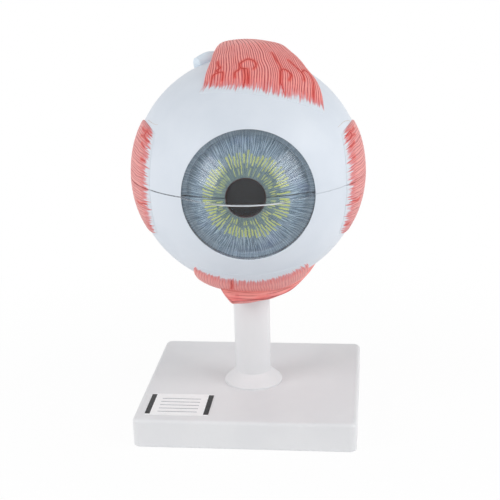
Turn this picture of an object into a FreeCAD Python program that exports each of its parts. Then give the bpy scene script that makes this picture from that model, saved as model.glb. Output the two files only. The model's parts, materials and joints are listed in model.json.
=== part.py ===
"""Dissectible model of a left human eye, five times life size, on a post and base.

Frame: millimetres, +Z up, the viewer in front looks along +Y, origin at the centre of the base's
underside. The eye has a frame of its own, centred in the globe: its gaze is -Y, +X is its temporal side
and +Z is up. set_on_stand() turns finished pieces by the gaze turn and lifts them onto the stand.
In profiles a point is (r, f): r is the distance from the gaze axis and f the distance in front of the
globe's centre. Angles off the gaze axis are called off, angles round it are called clock.
"""
import FreeCAD, Part
import math
import os

V = FreeCAD.Vector
X_AXIS, Y_AXIS, Z_AXIS = V(1, 0, 0), V(0, 1, 0), V(0, 0, 1)

# ---------------------------------------------------------------- driving dimensions, mm and degrees
# Base: an injection-moulded shell, open below
base_width = 118.0
base_depth = 111.0
base_height = 15.8
base_corner_radius = 4.0
base_inner_corner_radius = 1.2
base_top_round = 2.0
base_foot_round = 0.8
base_wall = 2.8
base_top_thickness = 3.0
base_rib_thickness = 2.0
base_rib_lift = 1.6           # ribs and boss stop this far above the table
base_boss_radius = 11.0
label_width = 34.0
label_depth = 26.0
label_thickness = 0.2
label_side_margin = 5.6       # from the base's left side
label_front_margin = 6.7      # from the base's front

# Post, its screw and the peg that carries the globe
post_top_radius = 10.1
post_foot_radius = 9.8
post_wall = 3.0
post_floor = 13.0             # solid foot that takes the screw
flange_radius = 16.0
flange_rim = 1.1
flange_height = 6.0
flange_round = 0.88           # on the flange's rim
post_foot_blend = 0.8
spigot_radius = 7.5
spigot_length = 1.5
screw_radius = 2.0
screw_grip = 10.0             # thread in the post
screw_head_radius = 4.2
screw_head_height = 2.6
screw_head_round = 1.0
screw_slot_width = 1.0
screw_slot_depth = 1.2
screw_hole_clearance = 0.5    # round the shank, in the base
washer_radius = 5.5
washer_thickness = 1.0
peg_radius = 4.0
peg_in_post = 20.0
bush_floor = 4.0              # solid part of the bush below the peg
peg_chamfer = 0.6
socket_drop = 7.0             # the socket boss below the globe
socket_depth = 8.5

# Globe
eye_height = 136.5            # globe centre above the table
gaze_turn = 6.0               # the globe's turn on its peg, to the viewer's right
globe_radius = 61.0
sclera_wall = 3.5
limbus_radius = 33.0
cornea_radius = 39.6
cornea_wall = 2.2
cornea_skirt_wall = 2.5
cornea_skirt_length = 3.5

# Inner shells
choroid_wall = 2.5
retina_wall = 0.8
ora_off = 65.0                # front edge of the retina, degrees off the gaze axis
choroid_front_off = 44.0
plana_wall = 1.2              # flat part of the ciliary ring
ridge_off = 47.4              # where the ciliary ridge leaves the flat part
ridge_back_step = 1.2         # the ridge's back edge stands this far out from its crest
ridge_back_drop = 1.6         # and lies this far behind the lens's rim
ridge_crest_drop = 0.4        # the crest starts this far behind the rim
ridge_front_step = 4.0        # the ridge's front edge, on the iris, stands out by this

# Iris
pupil_radius = 10.0
iris_dome_radius = 57.0
iris_rim_inset = 0.5          # its flat rim lies inside the limbus
iris_wall = 1.6

# Lens and vitreous body
lens_radius = 23.0
lens_rim = 2.0
lens_front_radius = 50.8
lens_back_radius = 30.5
lens_behind_iris = 0.9        # the lens's rim lies this far behind the iris's flat rim
zonule_gap = 1.8
vitreous_wall = 2.0
vitreous_lap = 3.0

# Optic nerve
nerve_turn = 15.0             # towards the nose
nerve_core_radius = 6.5
nerve_sheath_radius = 9.4
nerve_length = 14.0           # beyond the globe
nerve_step = 1.8              # the core stands out of its sheath
nerve_flare = 4.0
nerve_sheath_round = 0.9
artery_radius = 1.1
vein_radius = 1.3
vessel_offset = 2.6
vessel_stub = 1.2
disc_radius = 4.5

# Muscles; an edge share is how much of the thickness is left at a muscle's borders
superior_rectus_thickness = 5.6
superior_rectus_edge_share = 0.25
inferior_rectus_thickness = 4.8
inferior_rectus_edge_share = 0.55
side_rectus_thickness = 4.2
side_rectus_edge_share = 0.6
rectus_tail_lift = 3.4        # the cut ends of the straight muscles stand off the globe
side_rectus_tail_lift = 2.8
superior_oblique_thickness = 5.0
superior_oblique_half_width = 7.0
inferior_oblique_thickness = 4.0
inferior_oblique_half_width = 7.0
inferior_oblique_lift = 4.8   # it crosses below the inferior rectus
oblique_edge_share = 0.45
muscle_edge = 0.2             # thickness left where a muscle runs out
muscle_sink = 0.8             # how far a muscle's under side starts inside the globe

# Locating pins
sclera_pin_radius = 1.0
sclera_pin_depth = 5.0
sclera_pin_bearings = (62.0, 118.0, 205.0, 298.0)   # degrees from the gaze, round the seam
choroid_pin_radius = 0.75
choroid_pin_depth = 3.6
choroid_pin_bearings = (75.0, 150.0, 285.0)

# Clearances
nest_gap = 0.3                # between shells that lift apart
fit_gap = 0.06                # round pins and the peg
bond_gap = 0.05               # glue line under the muscles and the retina
end_gap = 0.4                 # at the blind end of a bore

# ---------------------------------------------------------------- derived sizes
sclera_inner = globe_radius - sclera_wall
choroid_outer = sclera_inner - nest_gap
choroid_inner = choroid_outer - choroid_wall
retina_outer = choroid_inner - bond_gap
retina_inner = retina_outer - retina_wall
plana_inner = choroid_inner - plana_wall
vitreous_radius = min(retina_inner, plana_inner) - nest_gap

limbus_plane = math.sqrt(globe_radius ** 2 - limbus_radius ** 2)
cornea_centre = limbus_plane - math.sqrt(cornea_radius ** 2 - limbus_radius ** 2)
skirt_end = limbus_plane - cornea_skirt_length
skirt_inner = limbus_radius - cornea_skirt_wall

iris_root_radius = skirt_inner - nest_gap
iris_rim_radius = limbus_radius - iris_rim_inset
iris_flange = skirt_end - nest_gap
iris_centre = iris_flange - math.sqrt(iris_dome_radius ** 2 - iris_root_radius ** 2)
iris_back = iris_flange - iris_wall

lens_back_sag = lens_back_radius - math.sqrt(lens_back_radius ** 2 - lens_radius ** 2)
lens_front_sag = lens_front_radius - math.sqrt(lens_front_radius ** 2 - lens_radius ** 2)
lens_front_face = iris_back - lens_behind_iris
lens_back_face = lens_front_face - lens_rim
lens_pivot = lens_back_face - lens_back_sag + lens_back_radius   # centre of the lens's back sphere
dish_radius = lens_back_radius + nest_gap
ridge_crest_radius = lens_radius + zonule_gap
vitreous_cone_radius = vitreous_radius * math.sin(math.radians(ridge_off))

post_top = eye_height - globe_radius - socket_drop
socket_top = post_top + socket_depth
bush_radius = post_top_radius - post_wall
bush_length = peg_in_post + bush_floor
peg_hole_radius = peg_radius + fit_gap


# ---------------------------------------------------------------- helpers
def on_axis(r, f):
    """A profile point as a vector in the plane z = 0."""
    return V(r, -f, 0)


def off_point(radius, off, centre=0.0):
    """The profile point on a circle about (0, centre), off degrees from the gaze."""
    a = math.radians(off)
    return on_axis(radius * math.sin(a), centre + radius * math.cos(a))


def off_angle(radius, r):
    """How far off the gaze axis a circle reaches the distance r from it, on the front side."""
    return math.degrees(math.asin(r / radius))


def arc_edge(radius, start, end, centre=0.0):
    middle = off_point(radius, (start + end) / 2, centre)
    return Part.Arc(off_point(radius, start, centre), middle, off_point(radius, end, centre)).toShape()


def profile(*pieces):
    """A face from edges and points in order; points are joined to what comes before and after."""
    edges, last, first = [], None, None
    for piece in pieces:
        if isinstance(piece, V):
            start, end, own = piece, piece, None
        else:
            start, end, own = piece.firstVertex(True).Point, piece.lastVertex(True).Point, piece
        if last is not None and last.distanceToPoint(start) > 1e-7:
            edges.append(Part.makeLine(last, start))
        if own is not None:
            edges.append(own)
        first = start if first is None else first
        last = end
    if last.distanceToPoint(first) > 1e-7:
        edges.append(Part.makeLine(last, first))
    return Part.Face(Part.Wire(edges))


def half_turned(face, side):
    """The upper (side 1) or lower (side -1) half of the ring that a profile sweeps round the gaze axis."""
    return face.revolve(V(0, 0, 0), Y_AXIS, -180.0 * side)


def ball(radius, centre=0.0):
    return Part.makeSphere(radius, on_axis(0, centre))


def bearing_point(radius, bearing):
    """A point in the seam plane, bearing degrees round from the gaze towards +X."""
    a = math.radians(bearing)
    return V(radius * math.sin(a), -radius * math.cos(a), 0)


def rounded_block(width, depth, height, corner, z):
    block = Part.makeBox(width, depth, height, V(-width / 2, -depth / 2, z))
    upright = [e for e in block.Edges if abs(e.tangentAt(e.FirstParameter).z) > 0.99]
    return block.makeFillet(corner, upright)


def level_edges(shape, z):
    """The edges that lie wholly at one height."""
    return [e for e in shape.Edges if abs(e.BoundBox.ZMin - z) < 1e-6 and abs(e.BoundBox.ZMax - z) < 1e-6]


def half_space(side):
    """Everything above (side 1) or below (side -1) the seam plane, as a box."""
    size = 4 * globe_radius
    return Part.makeBox(size, size, size, V(-size / 2, -size / 2, 0 if side > 0 else -size))


def set_on_stand(shape):
    placed = shape.copy()
    placed.rotate(V(0, 0, 0), Z_AXIS, gaze_turn)
    placed.translate(V(0, 0, eye_height))
    return placed


# ---------------------------------------------------------------- the stand
def base_shell():
    """Rounded shell, open below, with a cross of ribs and a boss under the post."""
    shell = rounded_block(base_width, base_depth, base_height, base_corner_radius, 0)
    shell = shell.makeFillet(base_top_round, level_edges(shell, base_height))
    shell = shell.makeFillet(base_foot_round, level_edges(shell, 0))
    ceiling = base_height - base_top_thickness
    inner_width, inner_depth = base_width - 2 * base_wall, base_depth - 2 * base_wall
    shell = shell.cut(rounded_block(inner_width, inner_depth, ceiling, base_inner_corner_radius, 0))
    for width, depth in ((inner_width, base_rib_thickness), (base_rib_thickness, inner_depth)):
        rib = Part.makeBox(width, depth, ceiling - base_rib_lift, V(-width / 2, -depth / 2, base_rib_lift))
        shell = shell.fuse(rib)
    boss_foot = screw_seat()
    shell = shell.fuse(Part.makeCylinder(base_boss_radius, ceiling - boss_foot, V(0, 0, boss_foot)))
    shell = shell.cut(Part.makeCylinder(base_boss_radius - base_rib_thickness, boss_foot))
    shell = shell.cut(Part.makeCylinder(spigot_radius + fit_gap, spigot_length + end_gap,
                                        V(0, 0, base_height - spigot_length - end_gap)))
    shell = shell.cut(Part.makeCylinder(screw_radius + screw_hole_clearance, base_height))
    return shell.removeSplitter()


def screw_seat():
    """Height of the boss's lower face, on which the washer lies."""
    return base_rib_lift + screw_head_height + washer_thickness


def base_label():
    """Blank adhesive label near the front left corner."""
    left, front = label_side_margin - base_width / 2, label_front_margin - base_depth / 2
    return Part.makeBox(label_width, label_depth, label_thickness, V(left, front, base_height))


def support_post():
    """Tapered tube with a coned flange and a solid foot, turned about Z."""
    taper_foot = base_height + flange_height
    outline = Part.makePolygon([
        V(0, 0, base_height - spigot_length),
        V(spigot_radius, 0, base_height - spigot_length),
        V(spigot_radius, 0, base_height),
        V(flange_radius, 0, base_height),
        V(flange_radius, 0, base_height + flange_rim),
        V(post_foot_radius + post_foot_blend, 0, taper_foot),
        V(post_foot_radius, 0, taper_foot + post_foot_blend),
        V(post_top_radius, 0, post_top),
        V(bush_radius, 0, post_top),
        V(bush_radius, 0, base_height + post_floor),
        V(0, 0, base_height + post_floor),
        V(0, 0, base_height - spigot_length),
    ])
    post = Part.Face(outline).revolve(V(0, 0, 0), Z_AXIS, 360)
    post = post.makeFillet(flange_round, level_edges(post, base_height + flange_rim))
    pilot = Part.makeCylinder(screw_radius, screw_grip + end_gap + spigot_length,
                              V(0, 0, base_height - spigot_length))
    return post.cut(pilot)


def post_bush():
    """Plug in the post's mouth, bored for the peg."""
    bush = Part.makeCylinder(bush_radius, bush_length, V(0, 0, post_top - bush_length))
    return bush.cut(Part.makeCylinder(peg_hole_radius, peg_in_post, V(0, 0, post_top - peg_in_post)))


def post_screw():
    """Slotted pan-head screw, from under the base into the post's foot."""
    seat = screw_seat() - washer_thickness
    tip = base_height + screw_grip
    head = Part.makeCylinder(screw_head_radius, screw_head_height, V(0, 0, seat - screw_head_height))
    head = head.makeFillet(screw_head_round, level_edges(head, seat - screw_head_height))
    slot = Part.makeBox(2 * screw_head_radius, screw_slot_width, screw_slot_depth,
                        V(-screw_head_radius, -screw_slot_width / 2, seat - screw_head_height))
    shank = Part.makeCylinder(screw_radius, tip - seat, V(0, 0, seat))
    return head.cut(slot).fuse(shank).removeSplitter()


def post_washer():
    seat = screw_seat()
    disc = Part.makeCylinder(washer_radius, washer_thickness, V(0, 0, seat - washer_thickness))
    return disc.cut(Part.makeCylinder(screw_radius + fit_gap, washer_thickness,
                                      V(0, 0, seat - washer_thickness)))


def swivel_peg():
    """Loose peg: it stands in the bush, and the globe turns on it."""
    foot, tip = post_top - peg_in_post, socket_top - end_gap
    peg = Part.makeCylinder(peg_radius, tip - foot, V(0, 0, foot))
    return peg.makeChamfer(peg_chamfer, level_edges(peg, foot) + level_edges(peg, tip))


# ---------------------------------------------------------------- outer shells
def nerve_axis():
    a = math.radians(nerve_turn)
    return V(-math.sin(a), math.cos(a), 0)


def pin_rods(radius, ring_radius, bearings, low, high):
    """Upright rods at bearings round the seam, from low to high."""
    return [Part.makeCylinder(radius, high - low, bearing_point(ring_radius, b) + V(0, 0, low))
            for b in bearings]


def sclera_pin_ring():
    return globe_radius - sclera_wall / 2


def choroid_pin_ring():
    return choroid_outer - choroid_wall / 2


def sclera_half(side):
    limbus_off, bore_off = off_angle(globe_radius, limbus_radius), off_angle(sclera_inner, limbus_radius)
    face = profile(arc_edge(globe_radius, limbus_off, 180), arc_edge(sclera_inner, 180, bore_off))
    half = half_turned(face, side)
    half = half.cut(Part.makeCylinder(nerve_core_radius, 2 * globe_radius, V(0, 0, 0), nerve_axis()))
    if side > 0:
        bores = pin_rods(sclera_pin_radius + fit_gap, sclera_pin_ring(), sclera_pin_bearings,
                         0, sclera_pin_depth + end_gap)
        return half.cut(Part.makeCompound(bores))
    bores = pin_rods(sclera_pin_radius, sclera_pin_ring(), sclera_pin_bearings, -sclera_pin_depth, 0)
    boss_foot = -globe_radius - socket_drop
    boss = Part.makeCylinder(post_top_radius, socket_drop + sclera_wall, V(0, 0, boss_foot))
    boss = boss.cut(ball(globe_radius - sclera_wall / 2))
    half = half.cut(Part.makeCompound(bores)).fuse(boss)
    socket = Part.makeCylinder(peg_hole_radius, socket_depth, V(0, 0, boss_foot))
    return half.cut(socket).removeSplitter()


def cornea_half(side):
    outer_off = off_angle(cornea_radius, limbus_radius)
    inner_radius = cornea_radius - cornea_wall
    inner_off = off_angle(inner_radius, skirt_inner)
    face = profile(arc_edge(cornea_radius, 0, outer_off, cornea_centre),
                   on_axis(limbus_radius, skirt_end), on_axis(skirt_inner, skirt_end),
                   arc_edge(inner_radius, inner_off, 0, cornea_centre))
    return half_turned(face, side)


def sclera_pins():
    return Part.makeCompound(pin_rods(sclera_pin_radius, sclera_pin_ring(), sclera_pin_bearings,
                                      -sclera_pin_depth, sclera_pin_depth))


# ---------------------------------------------------------------- inner shells
def choroid_half(side):
    face = profile(arc_edge(choroid_outer, choroid_front_off, 180),
                   arc_edge(choroid_inner, 180, choroid_front_off))
    half = half_turned(face, side)
    half = half.cut(Part.makeCylinder(disc_radius, 2 * globe_radius, V(0, 0, 0), nerve_axis()))
    low, high, radius = -choroid_pin_depth, 0, choroid_pin_radius
    if side > 0:
        low, high, radius = 0, choroid_pin_depth + end_gap, choroid_pin_radius + fit_gap
    bores = pin_rods(radius, choroid_pin_ring(), choroid_pin_bearings, low, high)
    return half.cut(Part.makeCompound(bores))


def choroid_pins():
    return Part.makeCompound(pin_rods(choroid_pin_radius, choroid_pin_ring(), choroid_pin_bearings,
                                      -choroid_pin_depth, choroid_pin_depth))


def retina_half(side):
    face = profile(arc_edge(retina_outer, ora_off, 180), arc_edge(retina_inner, 180, ora_off))
    half = half_turned(face, side)
    return half.cut(Part.makeCylinder(disc_radius, 2 * globe_radius, V(0, 0, 0), nerve_axis()))


def optic_disc_half(side):
    """Plug in the choroid and retina where the nerve enters."""
    plug = Part.makeCylinder(disc_radius, 2 * globe_radius, V(0, 0, 0), nerve_axis())
    return plug.common(ball(choroid_outer)).cut(ball(retina_inner)).common(half_space(side))


def ciliary_half(side):
    """Ring behind the iris: a thin flat part on the choroid, then a ridge round the lens."""
    front_off = math.degrees(math.acos(iris_back / choroid_outer))
    crest = ridge_crest_radius
    face = profile(arc_edge(choroid_outer, front_off, choroid_front_off),
                   arc_edge(choroid_inner, choroid_front_off, ora_off),
                   arc_edge(plana_inner, ora_off, ridge_off),
                   on_axis(crest + ridge_back_step, lens_back_face - ridge_back_drop),
                   on_axis(crest, lens_back_face - ridge_crest_drop), on_axis(crest, lens_front_face),
                   on_axis(crest + ridge_front_step, iris_back))
    return half_turned(face, side)


def iris_half(side):
    """Domed diaphragm with a flat rim that lies on the ciliary ring."""
    root_off = off_angle(iris_dome_radius, iris_root_radius)
    pupil_off = off_angle(iris_dome_radius, pupil_radius)
    inner = iris_dome_radius - iris_wall
    back_root_off = off_angle(inner, math.sqrt(inner ** 2 - (iris_back - iris_centre) ** 2))
    face = profile(arc_edge(iris_dome_radius, pupil_off, root_off, iris_centre),
                   on_axis(iris_rim_radius, iris_flange), on_axis(iris_rim_radius, iris_back),
                   arc_edge(inner, back_root_off, off_angle(inner, pupil_radius), iris_centre))
    return half_turned(face, side)


# ---------------------------------------------------------------- lens and vitreous body
def lens():
    front_centre = lens_front_face + lens_front_sag - lens_front_radius
    front_off = off_angle(lens_front_radius, lens_radius)
    back_off = off_angle(lens_back_radius, lens_radius)
    face = profile(arc_edge(lens_front_radius, 0, front_off, front_centre),
                   arc_edge(lens_back_radius, 180 - back_off, 180, lens_pivot))
    return face.revolve(V(0, 0, 0), Y_AXIS, 360)


def vitreous_form(inset):
    """The vitreous body's outer form, drawn in by inset all round."""
    radius = vitreous_radius - inset
    ridge_face = lens_back_face - ridge_back_drop - 2 * nest_gap - inset
    start = off_angle(radius, vitreous_cone_radius - inset)
    face = profile(arc_edge(radius, start, 180), on_axis(0, ridge_face),
                   on_axis(ridge_crest_radius - inset, ridge_face))
    body = face.revolve(V(0, 0, 0), Y_AXIS, 360)
    return body.cut(ball(dish_radius + inset, lens_pivot))


def vitreous_shells():
    """Front and rear shells of the hollow body, glued with a lap at the globe's mid plane."""
    shell = vitreous_form(0).cut(vitreous_form(vitreous_wall))
    size = 4 * globe_radius
    behind = Part.makeBox(size, size, size, V(-size / 2, 0, -size / 2))
    tongue = Part.makeCylinder(vitreous_radius - vitreous_wall / 2, vitreous_lap,
                               V(0, -vitreous_lap, 0), Y_AXIS)
    rear = shell.common(behind).fuse(shell.common(tongue)).removeSplitter()
    front = shell.cut(behind).cut(tongue)
    return front, rear


# ---------------------------------------------------------------- optic nerve
def nerve_piece(radius, start, end, side=0, offset=0.0):
    """A rod along the nerve from start to end, from the globe's centre; side keeps one half of it."""
    rod = Part.makeCylinder(radius, end - start, nerve_axis() * start + V(0, 0, offset), nerve_axis())
    return rod.common(half_space(side)) if side else rod


def vessel(side):
    """The vein runs in the core's upper half, the artery in its lower half."""
    radius = vein_radius if side > 0 else artery_radius
    end = globe_radius + nerve_length + vessel_stub
    return nerve_piece(radius, sclera_inner / 2, end, offset=side * vessel_offset).cut(ball(sclera_inner))


def nerve_core_half(side):
    core = nerve_piece(nerve_core_radius, sclera_inner / 2, globe_radius + nerve_length, side)
    return core.cut(ball(sclera_inner)).cut(vessel(side))


def nerve_sheath_half(side):
    """Tube that flares where it joins the globe."""
    end = globe_radius + nerve_length - nerve_step
    tube = nerve_piece(nerve_sheath_radius, sclera_inner / 2, end)
    flare = Part.makeCone(nerve_sheath_radius + nerve_flare, nerve_sheath_radius, nerve_flare,
                          nerve_axis() * (globe_radius - nerve_flare / 4), nerve_axis())
    mouth = nerve_axis() * end
    rings = [e for e in tube.Edges if e.Curve.TypeId == "Part::GeomCircle"]
    rim = [e for e in rings if (e.Curve.Center - mouth).Length < 1e-6]
    tube = tube.makeFillet(nerve_sheath_round, rim).fuse(flare)
    tube = tube.cut(ball(globe_radius)).cut(nerve_piece(nerve_core_radius, 0, 2 * globe_radius))
    return tube.common(half_space(side))


# ---------------------------------------------------------------- muscles
def direction(off, clock):
    """Unit vector off degrees from the gaze, at clock degrees round it from +X towards +Z."""
    a, c = math.radians(off), math.radians(clock)
    return V(math.sin(a) * math.cos(c), -math.cos(a), math.sin(a) * math.sin(c))


def strap(rows):
    """Closed solid from rows of (under, over) point pairs: two skins and the four walls between them."""
    under, over = Part.BSplineSurface(), Part.BSplineSurface()
    under.interpolate([[pair[0] for pair in row] for row in rows])
    over.interpolate([[pair[1] for pair in row] for row in rows])
    faces = [under.toShape(), over.toShape()]
    for low_side, high_side in zip(border_curves(under), border_curves(over)):
        wall = Part.BSplineSurface()
        wall.buildFromNSections([low_side, high_side])
        faces.append(wall.toShape())
    shell = Part.makeShell(faces)
    shell.sewShape(1e-4)
    solid = Part.makeSolid(Part.Shell(shell.Faces))
    if solid.Volume < 0:
        solid.reverse()
    return solid


def border_curves(surface):
    u_first, u_last, v_first, v_last = surface.bounds()
    return surface.uIso(u_first), surface.uIso(u_last), surface.vIso(v_first), surface.vIso(v_last)


def skin_row(ways, lift, thickness, edge_share):
    """Point pairs under and over a muscle, across one station, in mm.

    Where it lies on the globe its under side starts inside the globe, which on_globe() then cuts away.
    """
    row = []
    for way, q in ways:
        skin = max(thickness * (1 - (1 - edge_share) * q ** 4), muscle_edge)
        seat = globe_radius + bond_gap + lift
        row.append((way * (seat if lift else seat - muscle_sink), way * (seat + skin)))
    return row


def on_globe(rows):
    """The muscle that the rows describe, cut to lie on the globe."""
    return strap(rows).cut(ball(globe_radius + bond_gap))


def rectus(stations, belly, edge_share, across=9):
    """A straight muscle that fans out over the globe to its insertion, belly thick at most.

    A station is (off, clock from, clock to, lift, thickness, bow): the muscle's middle lies off degrees
    from the gaze, and its borders bow degrees further back. Lift and thickness are shares of
    rectus_tail_lift and of belly.
    """
    rows = []
    for off, clock_from, clock_to, lift, thickness, bow in stations:
        ways = []
        for k in range(across):
            q = 2 * k / (across - 1) - 1
            clock = clock_from + (clock_to - clock_from) * (q + 1) / 2
            ways.append((direction(off + bow * q * q, clock), q))
        rows.append(skin_row(ways, lift * rectus_tail_lift, thickness * belly, edge_share))
    return on_globe(rows)


superior_rectus_stations = (
    (51.0, 42.0, 117.0, 0.0, 0.036, 9.0),
    (56.0, 45.0, 113.0, 0.0, 0.161, 8.0),
    (66.0, 50.0, 110.0, 0.0, 0.536, 6.0),
    (78.0, 58.0, 107.0, 0.029, 0.821, 3.0),
    (90.0, 66.0, 105.0, 0.294, 1.0, 1.0),
    (100.0, 72.0, 104.0, 0.765, 1.0, 0.0),
    (112.0, 79.0, 102.5, 1.0, 0.893, 0.0),
)
inferior_rectus_stations = (
    (46.0, -124.0, -55.0, 0.0, 0.042, 7.0),
    (52.0, -124.0, -55.0, 0.0, 0.208, 7.0),
    (60.0, -122.0, -57.0, 0.0, 0.542, 5.0),
    (69.0, -118.0, -61.0, 0.0, 0.833, 3.0),
    (78.0, -114.0, -65.0, 0.0, 0.917, 1.5),
    (90.0, -110.0, -70.0, 0.029, 0.958, 0.0),
    (104.0, -106.0, -74.0, 0.471, 1.0, 0.0),
    (115.0, -103.0, -77.0, 1.0, 0.958, 0.0),
)
# Side muscles: (off, half width in clock degrees, lift, thickness, bow), lift and thickness as shares
side_rectus_stations = (
    (54.0, 31.0, 0.0, 0.048, 7.0),
    (60.0, 31.0, 0.0, 0.19, 7.0),
    (70.0, 30.5, 0.0, 0.262, 5.0),
    (80.0, 29.5, 0.0, 0.31, 3.0),
    (90.0, 28.0, 0.0, 0.357, 1.0),
    (99.0, 25.5, 0.071, 0.524, 0.0),
    (108.0, 22.0, 0.429, 0.81, 0.0),
    (117.0, 18.0, 1.0, 1.0, 0.0),
)
# How far each side muscle fans from the seam: (medial, lateral) shares of the half width
upper_reach = (1.0, 0.9)
lower_reach = (0.9, 1.0)


def side_rectus(side, mid_clock, across=7):
    """Half of the medial (mid clock 180) or lateral (mid clock 0) rectus, cut by the seam plane."""
    turn = side if mid_clock == 0 else -side
    reach = (upper_reach if side > 0 else lower_reach)[1 if mid_clock == 0 else 0]
    rows = []
    for off, half, lift, thickness, bow in side_rectus_stations:
        ways = []
        for k in range(across):
            q = k / (across - 1)
            way = direction(off + bow * q * q, mid_clock + turn * half * reach * q)
            if k == 0:
                way.z = 0.0
            ways.append((way, q))
        rows.append(skin_row(ways, lift * side_rectus_tail_lift, thickness * side_rectus_thickness,
                             side_rectus_edge_share))
    return on_globe(rows)


def superior_rectus():
    return rectus(superior_rectus_stations, superior_rectus_thickness, superior_rectus_edge_share)


def inferior_rectus():
    """Its belly has a hole for the socket boss."""
    muscle = rectus(inferior_rectus_stations, inferior_rectus_thickness, inferior_rectus_edge_share)
    length = 2 * globe_radius
    return muscle.cut(Part.makeCylinder(post_top_radius + nest_gap, length, V(0, 0, -length)))


# Oblique muscles: (x, f, z, half width, lift, thickness) of the middle, from the cut end to the insertion.
# Only the direction of (x, f, z) counts, and the last three are shares of the muscle's own sizes.
superior_oblique_stations = (
    (-25.0, -9.0, 54.5, 0.857, 0.0, 0.88),
    (-19.0, -11.5, 56.5, 1.0, 0.0, 1.0),
    (-12.5, -14.5, 57.8, 1.0, 0.0, 0.6),
    (-6.0, -18.0, 58.2, 1.0, 0.0, 0.4),
    (1.0, -22.0, 57.0, 1.086, 0.0, 0.38),
    (8.0, -27.0, 54.5, 1.257, 0.0, 0.32),
    (14.5, -32.0, 50.5, 1.486, 0.0, 0.22),
    (20.5, -37.0, 45.5, 1.714, 0.0, 0.06),
)
inferior_oblique_stations = (
    (-16.5, 17.6, -54.9, 0.943, 1.0, 0.2),
    (-8.0, 18.0, -56.7, 1.0, 1.0, 1.0),
    (1.0, 17.0, -57.5, 1.0, 1.0, 1.0),
    (9.5, 13.5, -57.7, 1.0, 1.0, 0.875),
    (17.5, 8.0, -56.8, 1.029, 0.979, 0.725),
    (25.0, 1.5, -54.5, 1.057, 0.708, 0.65),
    (32.0, -6.0, -50.4, 1.114, 0.25, 0.65),
    (38.0, -13.5, -44.4, 1.186, 0.0, 0.6),
    (43.5, -20.5, -35.9, 1.314, 0.0, 0.4),
    (48.0, -27.0, -23.7, 1.5, 0.0, 0.075),
)


def oblique(stations, half_width, belly_lift, belly, across=7):
    """A strap that crosses the globe: its rows stand square to the line through the stations."""
    middles = [V(x, -f, z).normalize() for x, f, z, half, lift, thickness in stations]
    rows = []
    for i, (x, f, z, half, lift, thickness) in enumerate(stations):
        along = middles[min(i + 1, len(middles) - 1)] - middles[max(i - 1, 0)]
        sideways = middles[i].cross(along).normalize()
        ways = []
        for k in range(across):
            q = 2 * k / (across - 1) - 1
            angle = q * half * half_width / globe_radius
            ways.append((middles[i] * math.cos(angle) + sideways * math.sin(angle), q))
        rows.append(skin_row(ways, lift * belly_lift, thickness * belly, oblique_edge_share))
    return on_globe(rows)


def superior_oblique_tendon():
    """It passes under the superior rectus, on the globe."""
    tendon = oblique(superior_oblique_stations, superior_oblique_half_width, 0, superior_oblique_thickness)
    return tendon.cut(superior_rectus())


def inferior_oblique():
    """It passes below the inferior rectus, from the nasal side to the back of the temporal side."""
    return oblique(inferior_oblique_stations, inferior_oblique_half_width, inferior_oblique_lift,
                   inferior_oblique_thickness)


# ---------------------------------------------------------------- all pieces
def stand_pieces():
    return {
        "base_shell": base_shell(),
        "base_label": base_label(),
        "support_post": support_post(),
        "post_bush": post_bush(),
        "post_screw": post_screw(),
        "post_washer": post_washer(),
        "swivel_peg": swivel_peg(),
    }


def eye_pieces():
    """Pieces of the globe, in the eye's own frame."""
    vitreous_front, vitreous_rear = vitreous_shells()
    pieces = {
        "sclera_pins": sclera_pins(),
        "choroid_pins": choroid_pins(),
        "lens": lens(),
        "vitreous_front": vitreous_front,
        "vitreous_rear": vitreous_rear,
        "superior_rectus": superior_rectus(),
        "superior_oblique_tendon": superior_oblique_tendon(),
        "inferior_rectus": inferior_rectus(),
        "inferior_oblique": inferior_oblique(),
        "central_vein": vessel(1),
        "central_artery": vessel(-1),
    }
    for name, side in (("upper", 1), ("lower", -1)):
        pieces[name + "_sclera"] = sclera_half(side)
        pieces[name + "_cornea"] = cornea_half(side)
        pieces[name + "_choroid"] = choroid_half(side)
        pieces[name + "_retina"] = retina_half(side)
        pieces[name + "_ciliary_body"] = ciliary_half(side)
        pieces[name + "_iris"] = iris_half(side)
        pieces["optic_disc_" + name] = optic_disc_half(side)
        pieces["optic_nerve_core_" + name] = nerve_core_half(side)
        pieces["optic_nerve_sheath_" + name] = nerve_sheath_half(side)
        pieces["medial_rectus_" + name] = side_rectus(side, 180)
        pieces["lateral_rectus_" + name] = side_rectus(side, 0)
    return pieces


def main():
    os.makedirs("parts", exist_ok=True)
    pieces = stand_pieces()
    for name, shape in eye_pieces().items():
        pieces[name] = set_on_stand(shape)
    for name, shape in sorted(pieces.items()):
        shape.exportStep("parts/" + name + ".step")
        print(f"{name:28s} solids {len(shape.Solids)} valid {shape.isValid()} volume {shape.Volume:10.1f}")


main()
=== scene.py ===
import json
import math
import bmesh
import bpy
import numpy as np
from mathutils import Matrix, Vector


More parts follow.
